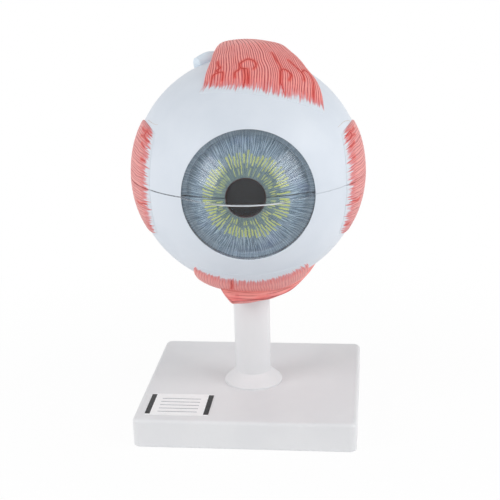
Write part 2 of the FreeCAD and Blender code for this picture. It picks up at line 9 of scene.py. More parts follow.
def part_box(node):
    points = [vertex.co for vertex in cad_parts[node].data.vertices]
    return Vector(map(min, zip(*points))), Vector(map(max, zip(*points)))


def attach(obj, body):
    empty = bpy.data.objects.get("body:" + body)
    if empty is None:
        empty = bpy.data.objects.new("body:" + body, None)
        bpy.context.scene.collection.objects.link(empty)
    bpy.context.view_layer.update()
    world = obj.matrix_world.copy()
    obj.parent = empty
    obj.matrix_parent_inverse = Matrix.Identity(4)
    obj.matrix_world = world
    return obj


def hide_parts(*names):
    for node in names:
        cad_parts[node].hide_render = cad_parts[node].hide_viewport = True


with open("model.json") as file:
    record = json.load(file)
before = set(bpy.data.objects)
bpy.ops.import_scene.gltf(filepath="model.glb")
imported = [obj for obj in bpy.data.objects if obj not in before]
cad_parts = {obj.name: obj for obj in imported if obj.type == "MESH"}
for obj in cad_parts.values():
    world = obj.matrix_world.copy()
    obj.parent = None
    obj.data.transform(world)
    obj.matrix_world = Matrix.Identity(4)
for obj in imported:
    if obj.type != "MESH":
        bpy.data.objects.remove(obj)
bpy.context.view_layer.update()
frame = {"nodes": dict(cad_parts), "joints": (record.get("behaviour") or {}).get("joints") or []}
print("frame loaded:", len(frame["nodes"]), "nodes")

# Shapes are worked out in millimetres in the eye's own frame: centred in the globe, gaze along -Y, +Z up,
# +X to the temple. A profile point (r, f) lies r from the gaze axis and f in front of the centre.
lensJoint = next(j for j in frame["joints"] if j["name"] == "lens_roll_out")
gazeTurn = math.atan2(lensJoint["axis"][1], lensJoint["axis"][0])
eyeHeight = 1000 * lensJoint["pos_m"][2]
globeRadius = 1000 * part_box("upper_sclera")[1].z - eyeHeight
seamGap = 0.02  # each half stays this far from the seam plane
halves = ((1, "upper"), (-1, "lower"))


def toStand(points):
    # turned by the gaze turn about Z, lifted to the eye's height, in metres
    x, y, z = np.moveaxis(points, -1, 0)
    c, s = math.cos(gazeTurn), math.sin(gazeTurn)
    return np.stack([c * x - s * y, s * x + c * y, z + eyeHeight], -1) / 1000


def gridFaces(rows, columns, closed):
    # quads between neighbouring rows; closed joins the last row to the first
    r = np.arange(rows if closed else rows - 1)[:, None]
    c = np.arange(columns - 1)[None, :]
    here, below = r * columns + c, (r + 1) % rows * columns + c
    return np.stack([here, here + 1, below + 1, below], -1).reshape(-1, 4)


def link(name, data):
    made = bpy.data.objects.new(name, data)
    bpy.context.scene.collection.objects.link(made)
    return made


def buildMesh(name, patches, smoothAngle=35.0):
    # each patch is {"points": rows x columns x 3, "uv": rows x columns x 2}, with "slot", "closed" and per-point
    # "marks" if any
    points, faces, uvs, slots, start = [], [], [], [], 0
    marks = {m: [] for p in patches for m in p.get("marks", {})}
    for patch in patches:
        grid = patch["points"]
        rows, columns = grid.shape[:2]
        quads = gridFaces(rows, columns, patch.get("closed", False))
        points.append(toStand(grid).reshape(-1, 3))
        faces.append(quads + start)
        uvs.append(patch["uv"].reshape(-1, 2)[quads])
        slots.append(np.broadcast_to(patch.get("slot", 0), (len(quads) // (columns - 1), columns - 1)).ravel())
        for m in marks:
            value = patch.get("marks", {}).get(m, 0.0)
            marks[m].append(np.broadcast_to(value, (rows, columns)).ravel())
        start += rows * columns
    mesh = bpy.data.meshes.new(name)
    mesh.from_pydata(np.concatenate(points), [], np.concatenate(faces))
    mesh.polygons.foreach_set("material_index", np.concatenate(slots).astype(np.int32))
    mesh.uv_layers.new(name="UVMap").data.foreach_set("uv", np.concatenate(uvs).astype(np.float32).ravel())
    for m in sorted(marks):
        values = np.concatenate(marks[m]).astype(np.float32)
        mesh.attributes.new(m, "FLOAT", "POINT").data.foreach_set("value", values)
    closeMesh(mesh)
    mesh.polygons.foreach_set("use_smooth", np.ones(len(mesh.polygons), bool))
    mesh.set_sharp_from_angle(angle=math.radians(smoothAngle))
    return link(name, mesh)


def closeMesh(mesh):
    # seams and poles merged, faces turned outwards
    work = bmesh.new()
    work.from_mesh(mesh)
    bmesh.ops.remove_doubles(work, verts=work.verts, dist=2e-7)
    bmesh.ops.dissolve_degenerate(work, edges=work.edges, dist=1e-8)
    bmesh.ops.recalc_face_normals(work, faces=work.faces)
    work.to_mesh(mesh)
    work.free()
    mesh.update()


def shaped(target, patch, operation="DIFFERENCE"):
    # target cut by or joined with the closed form of a patch or patches
    tool = buildMesh("tool", patch if isinstance(patch, list) else [patch])
    change = target.modifiers.new("shape", "BOOLEAN")
    change.operation, change.object, change.solver = operation, tool, "EXACT"
    mesh = bpy.data.meshes.new_from_object(target.evaluated_get(bpy.context.evaluated_depsgraph_get()))
    target.modifiers.clear()
    old, target.data = target.data, mesh
    bpy.data.meshes.remove(old)
    bpy.data.objects.remove(tool)
    mesh.set_sharp_from_angle(angle=math.radians(35))
    return target


def smoothRows(rows, count):
    # a Catmull-Rom curve through the rows of a table, count rows out
    rows = np.asarray(rows, float)
    padded = np.vstack([2 * rows[0] - rows[1], rows, 2 * rows[-1] - rows[-2]])
    t = np.linspace(0, len(rows) - 1, count)
    i = np.minimum(t.astype(int), len(rows) - 2)
    u = (t - i)[:, None]
    a, b, c, d = (padded[i + k] for k in range(4))
    return 0.5 * (2 * b + (c - a) * u + (2 * a - 5 * b + 4 * c - d) * u ** 2 + (3 * b - a - 3 * c + d) * u ** 3)


def smoothStep(low, high, value):
    t = np.clip((value - low) / (high - low), 0, 1)
    return t * t * (3 - 2 * t)


def waves(values, counts, seed):
    # a sum of sines of the given counts, with seeded phases, from about -1 to 1
    rng = np.random.default_rng(seed)
    phases = rng.uniform(0, 2 * math.pi, len(counts))
    weights = rng.uniform(0.6, 1.0, len(counts))
    total = sum(w * np.sin(2 * math.pi * n * values + p) for n, p, w in zip(counts, phases, weights))
    return total / weights.sum()


def runs(points, axis=0):
    # distances along a grid's lines
    return np.insert(np.cumsum(np.linalg.norm(np.diff(points, axis=axis), axis=-1), axis), 0, 0, axis)


def unit(vectors):
    return vectors / np.maximum(np.linalg.norm(vectors, axis=-1, keepdims=True), 1e-9)


def arc(radius, start, end, count, centre=0.0):
    # profile points on a circle about (0, centre), angles in degrees off the gaze, closer together at a pole
    t = np.linspace(0, 1, count)
    t = t ** 1.6 if start in (0, 180) else 1 - (1 - t) ** 1.6 if end in (0, 180) else t
    a = np.radians(start + (end - start) * t)
    return np.stack([radius * np.sin(a), centre + radius * np.cos(a)], -1)


def offAngle(radius, r):
    return math.degrees(math.asin(r / radius))


def softCorners(points, radius, sharp=30.0, steps=4):
    # a profile with each corner over sharp degrees cut back by radius and bent round, of an even number of points
    points = [np.asarray(p, float) for p in points]
    out = [points[0]]
    for before, here, after in zip(points, points[1:], points[2:]):
        a, b = before - here, after - here
        la, lb = np.linalg.norm(a), np.linalg.norm(b)
        turn = 180 - math.degrees(math.acos(np.clip(a @ b / (la * lb), -1, 1)))
        if turn < sharp:
            out.append(here)
            continue
        start, end = here + a / la * min(radius, la * 0.45), here + b / lb * min(radius, lb * 0.45)
        t = np.linspace(0, 1, steps + 1)[:, None]
        out.extend((1 - t) ** 2 * start + 2 * t * (1 - t) * here + t ** 2 * end)
    return evenCount([*out, points[-1]])


def evenCount(points):
    # a point more after the first if needed, so that a profile has as many points out as back
    if len(points) % 2:
        points = np.insert(points, 1, (points[0] + points[1]) / 2, 0)
    return np.array(points)


def softLoop(points, radius):
    # the same for a closed profile, whose last point is its first
    return evenCount(softCorners(points, radius)[:-1])


def halfTurned(profile, side, edge, steps=88, closed=False, relief=None, capSlot=0):
    # The profile swept half round the gaze axis, P = (r cos t, -f, side r sin t), with its seam edges rounded:
    # within edge of the seam plane the skin sinks by edge - sqrt(2 edge z - z^2). The profile runs with the
    # material on its right. relief(r, clock, forward) raises the skin, forward being its normal along the gaze.
    # capSlot is the material of the cut face and of the rounded lip outside it.
    rr, ff = profile[:, :1], profile[:, 1:]
    near = edge * np.array([0.0, 0.06, 0.2, 0.45, 0.75, 1.0, 1.4, 2.2])  # the columns beside the seam
    lipColumns = 5
    limit = np.radians(11.0 * np.arange(len(near)))
    low = np.minimum(np.arcsin(np.clip(near / np.maximum(rr, 1e-6), 0, 1)), limit)
    start = low[:, -1:]
    middle = start + (math.pi - 2 * start) * np.linspace(0, 1, steps + 1)[None, 1:-1]
    t = np.concatenate([low, middle, (math.pi - low)[:, ::-1]], 1)
    z = rr * np.sin(t)
    inside = np.clip(z, 0, edge)
    rise = np.sqrt(np.maximum(2 * edge * inside - inside ** 2, 0)) - edge
    step = np.roll(profile, -1, 0) - np.roll(profile, 1, 0) if closed else np.gradient(profile, axis=0)
    nr, nf = -step[:, 1], step[:, 0]
    if not closed:
        nr = np.where(profile[:, 0] < 1e-6, 0, nr)
    size = np.maximum(np.hypot(nr, nf), 1e-9)
    nr, nf = (nr / size)[:, None], (nf / size)[:, None]
    clock = side * t
    if relief:
        rise = rise + relief(rr + 0 * t, clock, nf + 0 * t) * smoothStep(0, 1.2, z)
    r, f = np.maximum(rr + nr * rise, 0), ff + nf * rise
    points = np.stack([r * np.cos(t), -f, side * (r * np.sin(t) + seamGap)], -1)
    turnShare = np.where(clock < 0, 1 + clock / (2 * math.pi), clock / (2 * math.pi))
    uv = np.stack([turnShare, r / 100], -1)
    half = len(profile) // 2
    lip = np.zeros((len(profile) - (0 if closed else 1), points.shape[1] - 1), int)
    lip[:half, :lipColumns] = lip[:half, -lipColumns:] = capSlot
    lip[:half][rr[:half, 0] < 1.2 * edge] = capSlot
    seam = 1 - smoothStep(edge * 0.5, edge * 1.5, z)
    patches = [{"points": points, "uv": uv, "closed": closed, "slot": lip, "marks": {"seam": seam}}]
    for column in (0, -1):
        face, faceUv = (np.stack([g[:half, column], g[half:, column][::-1]], 1) for g in (points, uv))
        patches.append({"points": face, "uv": faceUv, "slot": capSlot, "marks": {"seam": 1.0}})
    return patches


def turned(profile, steps, place=lambda p: p):
    # a profile of (r, z) turned about Z, P = (r cos a, r sin a, z)
    profile = np.array(profile, float)
    a = np.linspace(0, 2 * math.pi, steps + 1)[None, :]
    rr, zz = profile[:, :1], profile[:, 1:]
    points = np.stack([rr * np.cos(a), rr * np.sin(a), zz + 0 * a], -1)
    uv = np.stack([a / (2 * math.pi) + 0 * rr, runs(profile)[:, None] / 100 + 0 * a], -1)
    return {"points": place(points), "uv": uv}


def rod(radius, start, end, steps, place=lambda p: p):
    # a round bar along Z from start to end
    return turned([[0, start], [radius, start], [radius, end], [0, end]], steps, place)


def direction(off, clock):
    # unit vectors off degrees from the gaze, at clock degrees round it from +X towards +Z
    a, c = np.radians(off), np.radians(clock)
    return np.stack([np.sin(a) * np.cos(c), -np.cos(a) + 0 * c, np.sin(a) * np.sin(c)], -1)


def tubeOnBall(path, radius, flat, outwards=1):
    # a cord along a path on a ball: six-sided rings of radius(t) in the frame of the path and the ball's normal,
    # flat times as high as they are wide
    normal = outwards * unit(path)
    across = unit(np.cross(unit(np.gradient(path, axis=0)), normal))
    corners = 7  # the last on the first
    a = np.linspace(0, 2 * math.pi, corners)[None, :, None]
    ring = np.cos(a) * flat * normal[:, None] + np.sin(a) * across[:, None]
    rings = path[:, None] + radius[:, None, None] * ring
    first, last = (np.repeat(end[None, None], corners, 1) for end in (path[0], path[-1]))
    rings = np.concatenate([first, rings, last])
    s = np.linspace(0, 1, len(rings))[:, None]
    return {"points": rings, "uv": np.stack([s + 0 * a[0].T, a[0].T / (2 * math.pi) + 0 * s], -1)}


def paint(colour):
    # a screen colour, 0xRRGGBB, as the linear colour that a shader takes
    value = np.array([colour >> 16, colour >> 8 & 255, colour & 255]) / 255
    linear = np.where(value <= 0.04045, value / 12.92, ((value + 0.055) / 1.055) ** 2.4)
    return (*[float(v) for v in linear], 1.0)


def paints(**colours):
    return {name: paint(colour) for name, colour in colours.items()}


class Wire:
    # An output of a node. [key] is another output of the same node, and arithmetic on it adds a Math node.
    def __init__(self, node, key=0):
        self.node, self.socket = node, node.outputs[key]

    def __getitem__(self, key):
        return Wire(self.node, key)

    def __abs__(self):
        return maths("ABSOLUTE", self)


for sign, operation in {"add": "ADD", "sub": "SUBTRACT", "mul": "MULTIPLY", "truediv": "DIVIDE", "lt": "LESS_THAN",
                        "gt": "GREATER_THAN"}.items():
    # with the wire on the left or on the right
    setattr(Wire, f"__{sign}__", lambda a, b, kind=operation: maths(kind, a, b))
    setattr(Wire, f"__r{sign}__", lambda a, b, kind=operation: maths(kind, b, a))


def put(kind, inputs, tree=None, **settings):
    # one node, in the tree of the wires that feed it unless tree is given; inputs by name or number
    tree = tree or next(value.node.id_data for value in inputs.values() if isinstance(value, Wire))
    made = tree.nodes.new("ShaderNode" + kind)
    for key, value in settings.items():
        setattr(made, key, value)
    for key, value in inputs.items():
        if isinstance(value, Wire):
            tree.links.new(value.socket, made.inputs[key])
        else:
            made.inputs[key].default_value = value
    return Wire(made)


def feed(node, **wires):
    # wires into the sockets of a node, with _ for the blanks in their names
    for key, wire in wires.items():
        node.id_data.links.new(wire.socket, node.inputs[key.replace("_", " ")])


def maths(operation, a, b=0.0):
    return put("Math", {0: a, 1: b}, operation=operation)


def between(value, low, high, toLow=0.0, toHigh=1.0):
    return put("MapRange", {"Value": value, "From Min": low, "From Max": high, "To Min": toLow, "To Max": toHigh},
               interpolation_type="SMOOTHSTEP")


def mixed(factor, a, b):
    return put("Mix", {0: factor, 6: a, 7: b}, data_type="RGBA")[2]


def layered(colour, *coats):
    # each coat is (mask, colour), laid over those before it
    for mask, over in coats:
        colour = mixed(mask, colour, over)
    return colour


def noise(vector, scale, detail=3.0, roughness=0.5):
    return put("TexNoise", {"Vector": vector, "Scale": scale, "Detail": detail, "Roughness": roughness})


def cellEdges(vector, scale):
    return put("TexVoronoi", {"Vector": vector, "Scale": scale}, feature="DISTANCE_TO_EDGE")


def inMillimetres(tree):
    place = put("TexCoord", {}, tree)["Object"]
    return put("VectorMath", {0: place, "Scale": 1000.0}, operation="SCALE")


def distance(vector, point):
    return put("VectorMath", {0: vector, 1: point}, operation="DISTANCE")["Value"]


def stretched(vector, x, y, z=1.0):
    return put("VectorMath", {0: vector, 1: (x, y, z)}, operation="MULTIPLY")


def split(vector):
    return put("SeparateXYZ", {0: vector})


def joined(x, y, z=0.0):
    return put("CombineXYZ", {0: x, 1: y, 2: z})


def pieceUv(tree):
    return put("UVMap", {}, tree, uv_map="UVMap")


def mark(tree, name):
    return put("Attribute", {}, tree, attribute_name=name)["Fac"]


def newGroup(name, ins, outs):
    tree = bpy.data.node_groups.new(name, "ShaderNodeTree")
    for sockets, way in ((ins, "INPUT"), (outs, "OUTPUT")):
        for label, kind in sockets.items():
            tree.interface.new_socket(label, in_out=way, socket_type="NodeSocket" + kind)
    return tree, Wire(tree.nodes.new("NodeGroupInput")), tree.nodes.new("NodeGroupOutput")


def newMaterial(name, **constants):
    made = bpy.data.materials.new(name)
    made.use_nodes = True
    shader = made.node_tree.nodes["Principled BSDF"]
    for key, value in constants.items():
        shader.inputs[key.replace("_", " ")].default_value = value
    return made, made.node_tree, shader


def coat(shader, colour, roughness, height, strength, depth=0.0004):
    # the surface of a material, with height as its bumps
    normal = put("Bump", {"Height": height, "Strength": strength, "Distance": depth})
    feed(shader, Base_Color=colour, Roughness=roughness, Normal=normal)


def makeGrain():
    # moulded or painted plastic: broad tint patches, fine orange peel, uneven gloss
    tree, given, result = newGroup(
        "mouldedGrain", {"Colour": "Color", "Tint": "Color", "Patch": "Float", "Amount": "Float", "Gloss": "Float"},
        {"Colour": "Color", "Roughness": "Float", "Height": "Float"})
    place = inMillimetres(tree)
    mask = between(noise(place, given["Patch"], 4.0), 0.36, 0.68) * given["Amount"]
    wear, peel, fine = noise(place, 0.35, 5.0, 0.65), noise(place, 1.1, 2.0), noise(place, 7.0, 2.0)
    feed(result, Colour=mixed(mask, given["Colour"], given["Tint"]),
         Roughness=given["Gloss"] + between(wear, 0.3, 0.75, -0.05, 0.09), Height=peel + fine * 0.25)
    return tree


def makeSeamShade():
    # dirt and shade where two halves meet, from the mesh's seam mark
    tree, given, result = newGroup("seamShade", {"Colour": "Color", "Shade": "Color", "Amount": "Float"},
                                   {"Colour": "Color"})
    uneven = between(noise(inMillimetres(tree), 0.6, 2.0), 0.25, 0.7, 0.55, 1.0)
    mask = mark(tree, "seam") * given["Amount"] * uneven
    feed(result, Colour=mixed(mask, given["Colour"], given["Shade"]))
    return tree


def makeFibres():
    # strands along V of a UV map: Count strands per unit of U, broken up every Length of V
    tree, given, result = newGroup("fibres", {"UV": "Vector", "Count": "Float", "Length": "Float"},
                                   {"Mask": "Float", "Fine": "Float"})
    uv = split(given["UV"])
    v, u = uv[1] / given["Length"], uv[0] * given["Count"]
    broad, thin = noise(joined(u, v), 1.0, 2.0, 0.55), noise(joined(u * 2.7, v, 4.0), 1.0, 2.0)
    feed(result, Mask=between(broad, 0.32, 0.66), Fine=between(thin, 0.35, 0.65))
    return tree


grainGroup, seamGroup, fibreGroup = makeGrain(), makeSeamShade(), makeFibres()


def grained(tree, look, key, patch, amount, gloss):
    # a look's colour and the tint beside it
    return put("Group", {"Colour": look[key], "Tint": look[key + "Tint"], "Patch": patch, "Amount": amount,
                         "Gloss": gloss}, tree, node_tree=grainGroup)


def seamShaded(colour, shade, amount):
    return put("Group", {"Colour": colour, "Shade": shade, "Amount": amount}, node_tree=seamGroup)


def fibres(uv, count, length):
    return put("Group", {"UV": uv, "Count": count, "Length": length}, node_tree=fibreGroup)


def plasticMaterial(name, look, key, patch, amount, gloss, peel, seamed=False):
    made, tree, shader = newMaterial(name, IOR=1.48)
    grain = grained(tree, look, key, patch, amount, gloss)
    colour = seamShaded(grain, look["seam"], 0.85) if seamed else grain
    coat(shader, colour, grain["Roughness"], grain["Height"], peel)
    return made


def vesselPaint(name, look, key, patch=0.3):
    return plasticMaterial(name, look, key, patch, 0.6, 0.35, 0.1)


def overSurface(output, factor, shader, other):
    # the shader, with other in its place where factor is 1
    feed(output, Surface=put("MixShader", {0: factor, 1: Wire(shader), 2: other}))


def clearMaterial(name, colour, roughness, ior, gloss=0.0, blur=0.06):
    # clear plastic that lets lamps through; a thin wall bends little, and its gloss is then a coat
    made, tree, shader = newMaterial(name, Base_Color=colour, Roughness=roughness, IOR=ior,
                                     Transmission_Weight=1.0, Coat_Weight=gloss, Coat_Roughness=blur)
    height = noise(inMillimetres(tree), 0.12, 2.0)
    feed(shader, Normal=put("Bump", {"Height": height, "Strength": 0.05, "Distance": 0.001}))
    through = put("BsdfTransparent", {"Color": colour}, tree)
    overSurface(tree.nodes["Material Output"], put("LightPath", {}, tree)["Is Shadow Ray"], shader, through)
    return made


def dress(piece, *materials):
    # clearing the slots loses which face has which, so that is put back
    faces = piece.data.polygons
    slots = np.zeros(len(faces), np.int32)
    faces.foreach_get("material_index", slots)
    piece.data.materials.clear()
    for m in materials:
        piece.data.materials.append(m)
    faces.foreach_set("material_index", np.minimum(slots, len(materials) - 1))


def settle(piece, materials, body, slot, *nodes):
    # dressed, on its body and in the place of the nodes it shows; its slot is not used
    dress(piece, *materials)
    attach(piece, body)
    if nodes:
        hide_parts(*nodes)


def settleHalves(make, name, materials, body, slot, node):
    for side, half in halves:
        settle(make(side, half + name), materials, half + body, slot, half + node)


def settleCords(name, tubes, material, body, slot):
    settle(buildMesh(name, tubes, 60), [material], body, slot)


standLook = paints(white=0xE8E9EB, whiteTint=0xE2E3E6, bush=0xB0B2B6, bushTint=0xA0A3A8, steel=0xBABCC0,
                   steelDark=0x94969C)


def makeSteel():
    # turned metal, ringed finely along its height
    made, tree, shader = newMaterial("turnedSteel", Metallic=1.0)
    turning = noise(stretched(inMillimetres(tree), 0.4, 0.4, 9.0), 1.0)
    coat(shader, mixed(between(turning, 0.3, 0.7), standLook["steelDark"], standLook["steel"]),
         between(turning, 0.3, 0.7, 0.2, 0.36), turning, 0.2, 0.0001)
    return made


labelLook = paints(paper=0xFDFEFF, paperTint=0xF6F7F8, ink=0x1A1B1E, pale=0x969BA3)
labelSize = {"left": -53.4, "width": 34.0, "front": -48.8, "depth": 26.0, "bar": 2.7, "barInset": 0.8,
             "lineCount": 5, "lineShift": 0.4, "lineShare": 0.16, "lineInset": 6.4, "margin": 2.4}


def makeLabelPaper():
    # plain bars at both ends and blank ruled lines between them
    made, tree, shader = newMaterial("labelPaper", IOR=1.45)
    look, s = labelLook, labelSize
    place = split(inMillimetres(tree))
    x, y = place[0] - s["left"], place[1] - s["front"]
    fromEnd, fromSide = maths("MINIMUM", x, s["width"] - x), maths("MINIMUM", y, s["depth"] - y)
    bar = (fromEnd < s["bar"]) * (fromSide > s["barInset"])
    wave = maths("FRACT", (y + s["lineShift"]) / (s["depth"] / (s["lineCount"] + 1.5)))
    rule = (wave < s["lineShare"]) * (fromEnd > s["lineInset"]) * (fromSide > s["margin"])
    grain = grained(tree, look, "paper", 0.3, 0.5, 0.5)
    colour = layered(grain, (rule, look["pale"]), (bar, look["ink"]))
    coat(shader, colour, grain["Roughness"], grain["Height"], 0.1, 0.0002)
    return made


nodes = frame["nodes"]
standWhite = plasticMaterial("standWhite", standLook, "white", 0.03, 0.6, 0.36, 0.1)
bushGrey = plasticMaterial("bushGrey", standLook, "bush", 0.4, 0.6, 0.5, 0.15)
steel = makeSteel()
for material, names in ((standWhite, ("base_shell", "support_post")), (bushGrey, ("post_bush",)),
                        (makeLabelPaper(), ("base_label",)),
                        (steel, ("post_screw", "post_washer", "swivel_peg", "sclera_pins", "choroid_pins"))):
    for name in names:
        dress(nodes[name], material)
print("stand dressed")


scleraSize = {
    "wall": 3.5, "limbus": 33.0, "rim": 0.45, "edge": 0.26, "bossRadius": 10.1, "bossDrop": 7.0,
    "socketRadius": 4.06, "socketDepth": 8.5, "nerveTurn": 15.0, "nerveBore": 6.5,
    "pinBearings": (62.0, 118.0, 205.0, 298.0), "pinBore": 1.06, "pinDepth": 5.3,
}
scleraLook = paints(skin=0xDEE5EE, skinTint=0xD7DFE9, seam=0x222C38)


def nerveRod(radius, start, end):
    # a rod along the nerve axis, from start to end off the globe's centre
    turn = math.radians(scleraSize["nerveTurn"])

    def place(points):
        # the rod's own Z along the nerve, (-sin turn, cos turn, 0)
        x, y, z = np.moveaxis(points, -1, 0)
        return np.stack([x * math.cos(turn) - z * math.sin(turn), x * math.sin(turn) + z * math.cos(turn), y], -1)

    return rod(radius, start, end, 64, place)


def pinSockets(ringRadius, size):
    # upright holes round the seam plane, bearings in degrees from the gaze
    return [rod(size["pinBore"], -1, size["pinDepth"], 24,
                lambda p, b=bearing: p + ringRadius * np.array([math.sin(b), -math.cos(b), 0]))
            for bearing in np.radians(size["pinBearings"])]


def poleToPole(points, radius):
    # a shell's profile with both ends on the axis
    profile = softCorners(points, radius)
    profile[[0, -1], 0] = 0
    return profile


def scleraHalf(side, name):
    # ball shell from the back pole to the limbus; the lower half has the socket boss
    s = scleraSize
    inner, socket = globeRadius - s["wall"], s["socketRadius"]
    profile = poleToPole([*arc(globeRadius, 180, offAngle(globeRadius, s["limbus"]), 84),
                          *arc(inner, offAngle(inner, s["limbus"]), 180, 80)], s["rim"])
    patches = halfTurned(profile[::-1], side, s["edge"])
    x, y, z = np.moveaxis(patches[0]["points"], -1, 0)
    # the limbus wall gets the seam's dark tone: a painted shadow for the shaded edge round the cornea
    inLimbus = (np.hypot(x, z) < s["limbus"] + 0.12) & (y < -s["limbus"])
    seamShadeFade = smoothStep(8, 36, x) * smoothStep(0, -20, y)  # the painted seam shade fades at the temple's front, where the seam lies in less shade
    seam = patches[0]["marks"]["seam"] * (1 - 0.85 * seamShadeFade)
    patches[0]["marks"]["seam"] = np.maximum(seam, 0.83 * inLimbus)
    shell = shaped(buildMesh(name, patches), nerveRod(s["nerveBore"], inner - 4, globeRadius + 4))
    if side > 0:
        return shaped(shell, pinSockets(globeRadius - s["wall"] / 2, s))
    foot, r, seat = -globeRadius - s["bossDrop"], s["bossRadius"], -globeRadius + s["wall"] / 2
    boss = [[0, seat + 0.3], [r + 1.6, seat + 0.55], [r + 1.5, -59.75], [r + 0.8, -60.3], [r + 0.3, -60.9],
            [r + 0.06, -61.6], [r, -62.2], [r, foot + 0.5], [r - 0.15, foot + 0.15], [r - 0.5, foot], [0, foot]]
    mouth = [[0, foot - 1], [socket + 0.5, foot - 1], [socket + 0.5, foot - 0.01], [socket, foot + 0.5],
             [socket, foot + s["socketDepth"]], [0, foot + s["socketDepth"]]]
    return shaped(shaped(shell, turned(boss, 96), "UNION"), turned(mouth, 64))


scleraPaint = plasticMaterial("scleraPaint", scleraLook, "skin", 0.035, 0.8, 0.44, 0.1, True)
settleHalves(scleraHalf, "ScleraShell", [scleraPaint], "_globe", "sclera_white", "_sclera")
print("sclera made")


corneaSize = {"radius": 39.6, "centre": 29.41, "wall": 2.2, "skirtEnd": 47.8, "skirtOuter": 32.95,
              "skirtInner": 30.5, "rim": 0.3, "edge": 0.16, "lowerEdge": 0.62}
corneaLook = paints(clear=0xF9FBFD, edge=0xD8D9DC, edgeTint=0xC8CAD0)


def corneaHalf(side, name):
    # clear dome with a short skirt inside the limbus; the lower half's wide lip is frosted white, a painted
    # highlight for the seam's bright line
    s = corneaSize
    outer, inner, end = s["radius"], s["radius"] - s["wall"], s["skirtEnd"]
    profile = poleToPole([*arc(outer, 0, offAngle(outer, s["skirtOuter"]), 48, s["centre"]),
                          (s["skirtOuter"], end), (s["skirtInner"], end),
                          *arc(inner, offAngle(inner, s["skirtInner"]), 0, 48, s["centre"])], s["rim"])
    edge = s["edge" if side > 0 else "lowerEdge"]
    return buildMesh(name, halfTurned(profile, side, edge, capSlot=int(side < 0)))


def makeFrostedHighlight():
    # the lower cut face frosted white: a painted highlight for the bright line along the clear seam, clearing
    # slowly towards the nose and fast near the temple
    made, tree, shader = newMaterial("corneaFrostedHighlight", IOR=1.49)
    height = noise(inMillimetres(tree), 3.0)
    uv = split(pieceUv(tree))
    temporal, aside = abs(uv[0] - 0.5) > 0.25, uv[1] * 100.0
    slow, fast = between(aside, 9.0, 21.0, 0.98, 0.25), between(aside, 12.5, 20.5, 0.98, 0.1)
    feed(shader, Alpha=slow + temporal * (fast - slow))
    coat(shader, mixed(between(height, 0.3, 0.7), corneaLook["edge"], corneaLook["edgeTint"]),
         between(height, 0.3, 0.7, 0.45, 0.6), height, 0.2, 0.0002)
    return made


corneaCoats = [clearMaterial("corneaClear", corneaLook["clear"], 0.0, 1.03, 0.42, 0.13), makeFrostedHighlight()]
settleHalves(corneaHalf, "CorneaDome", corneaCoats, "_globe", "cornea_clear", "_cornea")
print("cornea made")


irisSize = {"pupil": 9.8, "dome": 57.0, "centre": -0.84, "root": 30.2, "rimRadius": 32.9, "flange": 47.5,
            "wall": 1.6, "edge": 0.3, "rim": 0.28, "nasal": 1.3, "foldCount": 84, "fold": 0.13, "collar": 17.0,
            "collarRise": 0.35, "streakCount": 156.0, "dashCount": 74.0}
irisLook = paints(blue=0x586D7C, pale=0xB6C8D4, deep=0x324454, violet=0x707EA0, green=0x4E625E, rim=0xB0C1CE,
                  greenPale=0x96AA98, dash=0xC0C458, dashPale=0x9CAC70, pupilEdge=0x462220, seam=0x2C343E)


def irisRelief(r, clock, forward):
    # radial folds, strongest in mid iris, a raised collar and two shallow furrows, on the front only
    s = irisSize
    share = clock / (2 * math.pi)
    folds = waves(share, [s["foldCount"], s["foldCount"] + 23, s["foldCount"] - 19], 4)
    body = smoothStep(s["pupil"], s["pupil"] + 3, r) * (1 - smoothStep(s["root"] - 3, s["root"], r))
    wander = s["collar"] + 1.1 * waves(share, [5, 9, 14], 7)
    collar = np.exp(-((r - wander) / 1.1) ** 2) * s["collarRise"]
    furrow = -0.12 * np.exp(-((r - 24.5) / 0.5) ** 2) - 0.1 * np.exp(-((r - 27.3) / 0.45) ** 2)
    return (folds * s["fold"] * body + collar + furrow) * smoothStep(0.3, 0.8, forward)


def irisHalf(side, name):
    # a domed ring from the pupil to its root, with a flat rim
    s = irisSize
    dome, inner, back, centre = s["dome"], s["dome"] - s["wall"], s["flange"] - s["wall"], s["centre"]
    innerRoot = math.sqrt(inner ** 2 - (back - centre) ** 2)
    front = arc(dome, offAngle(dome, s["pupil"]), offAngle(dome, s["root"]), 70, centre)
    behind = arc(inner, offAngle(inner, innerRoot), offAngle(inner, s["pupil"]), 70, centre)
    start = (front[0] + behind[-1]) / 2
    loop = [start, *front, (s["rimRadius"], s["flange"]), (s["rimRadius"], back), *behind, start]
    patches = halfTurned(softLoop(loop, s["rim"]), side, s["edge"], 300, True, irisRelief)
    for patch in patches:
        # the pupil and what is round it lie a little to the nose
        x, z = patch["points"][..., 0], patch["points"][..., 2]
        x -= s["nasal"] * (1 - smoothStep(s["pupil"], s["root"], np.hypot(x, z)))
    return buildMesh(name, patches)


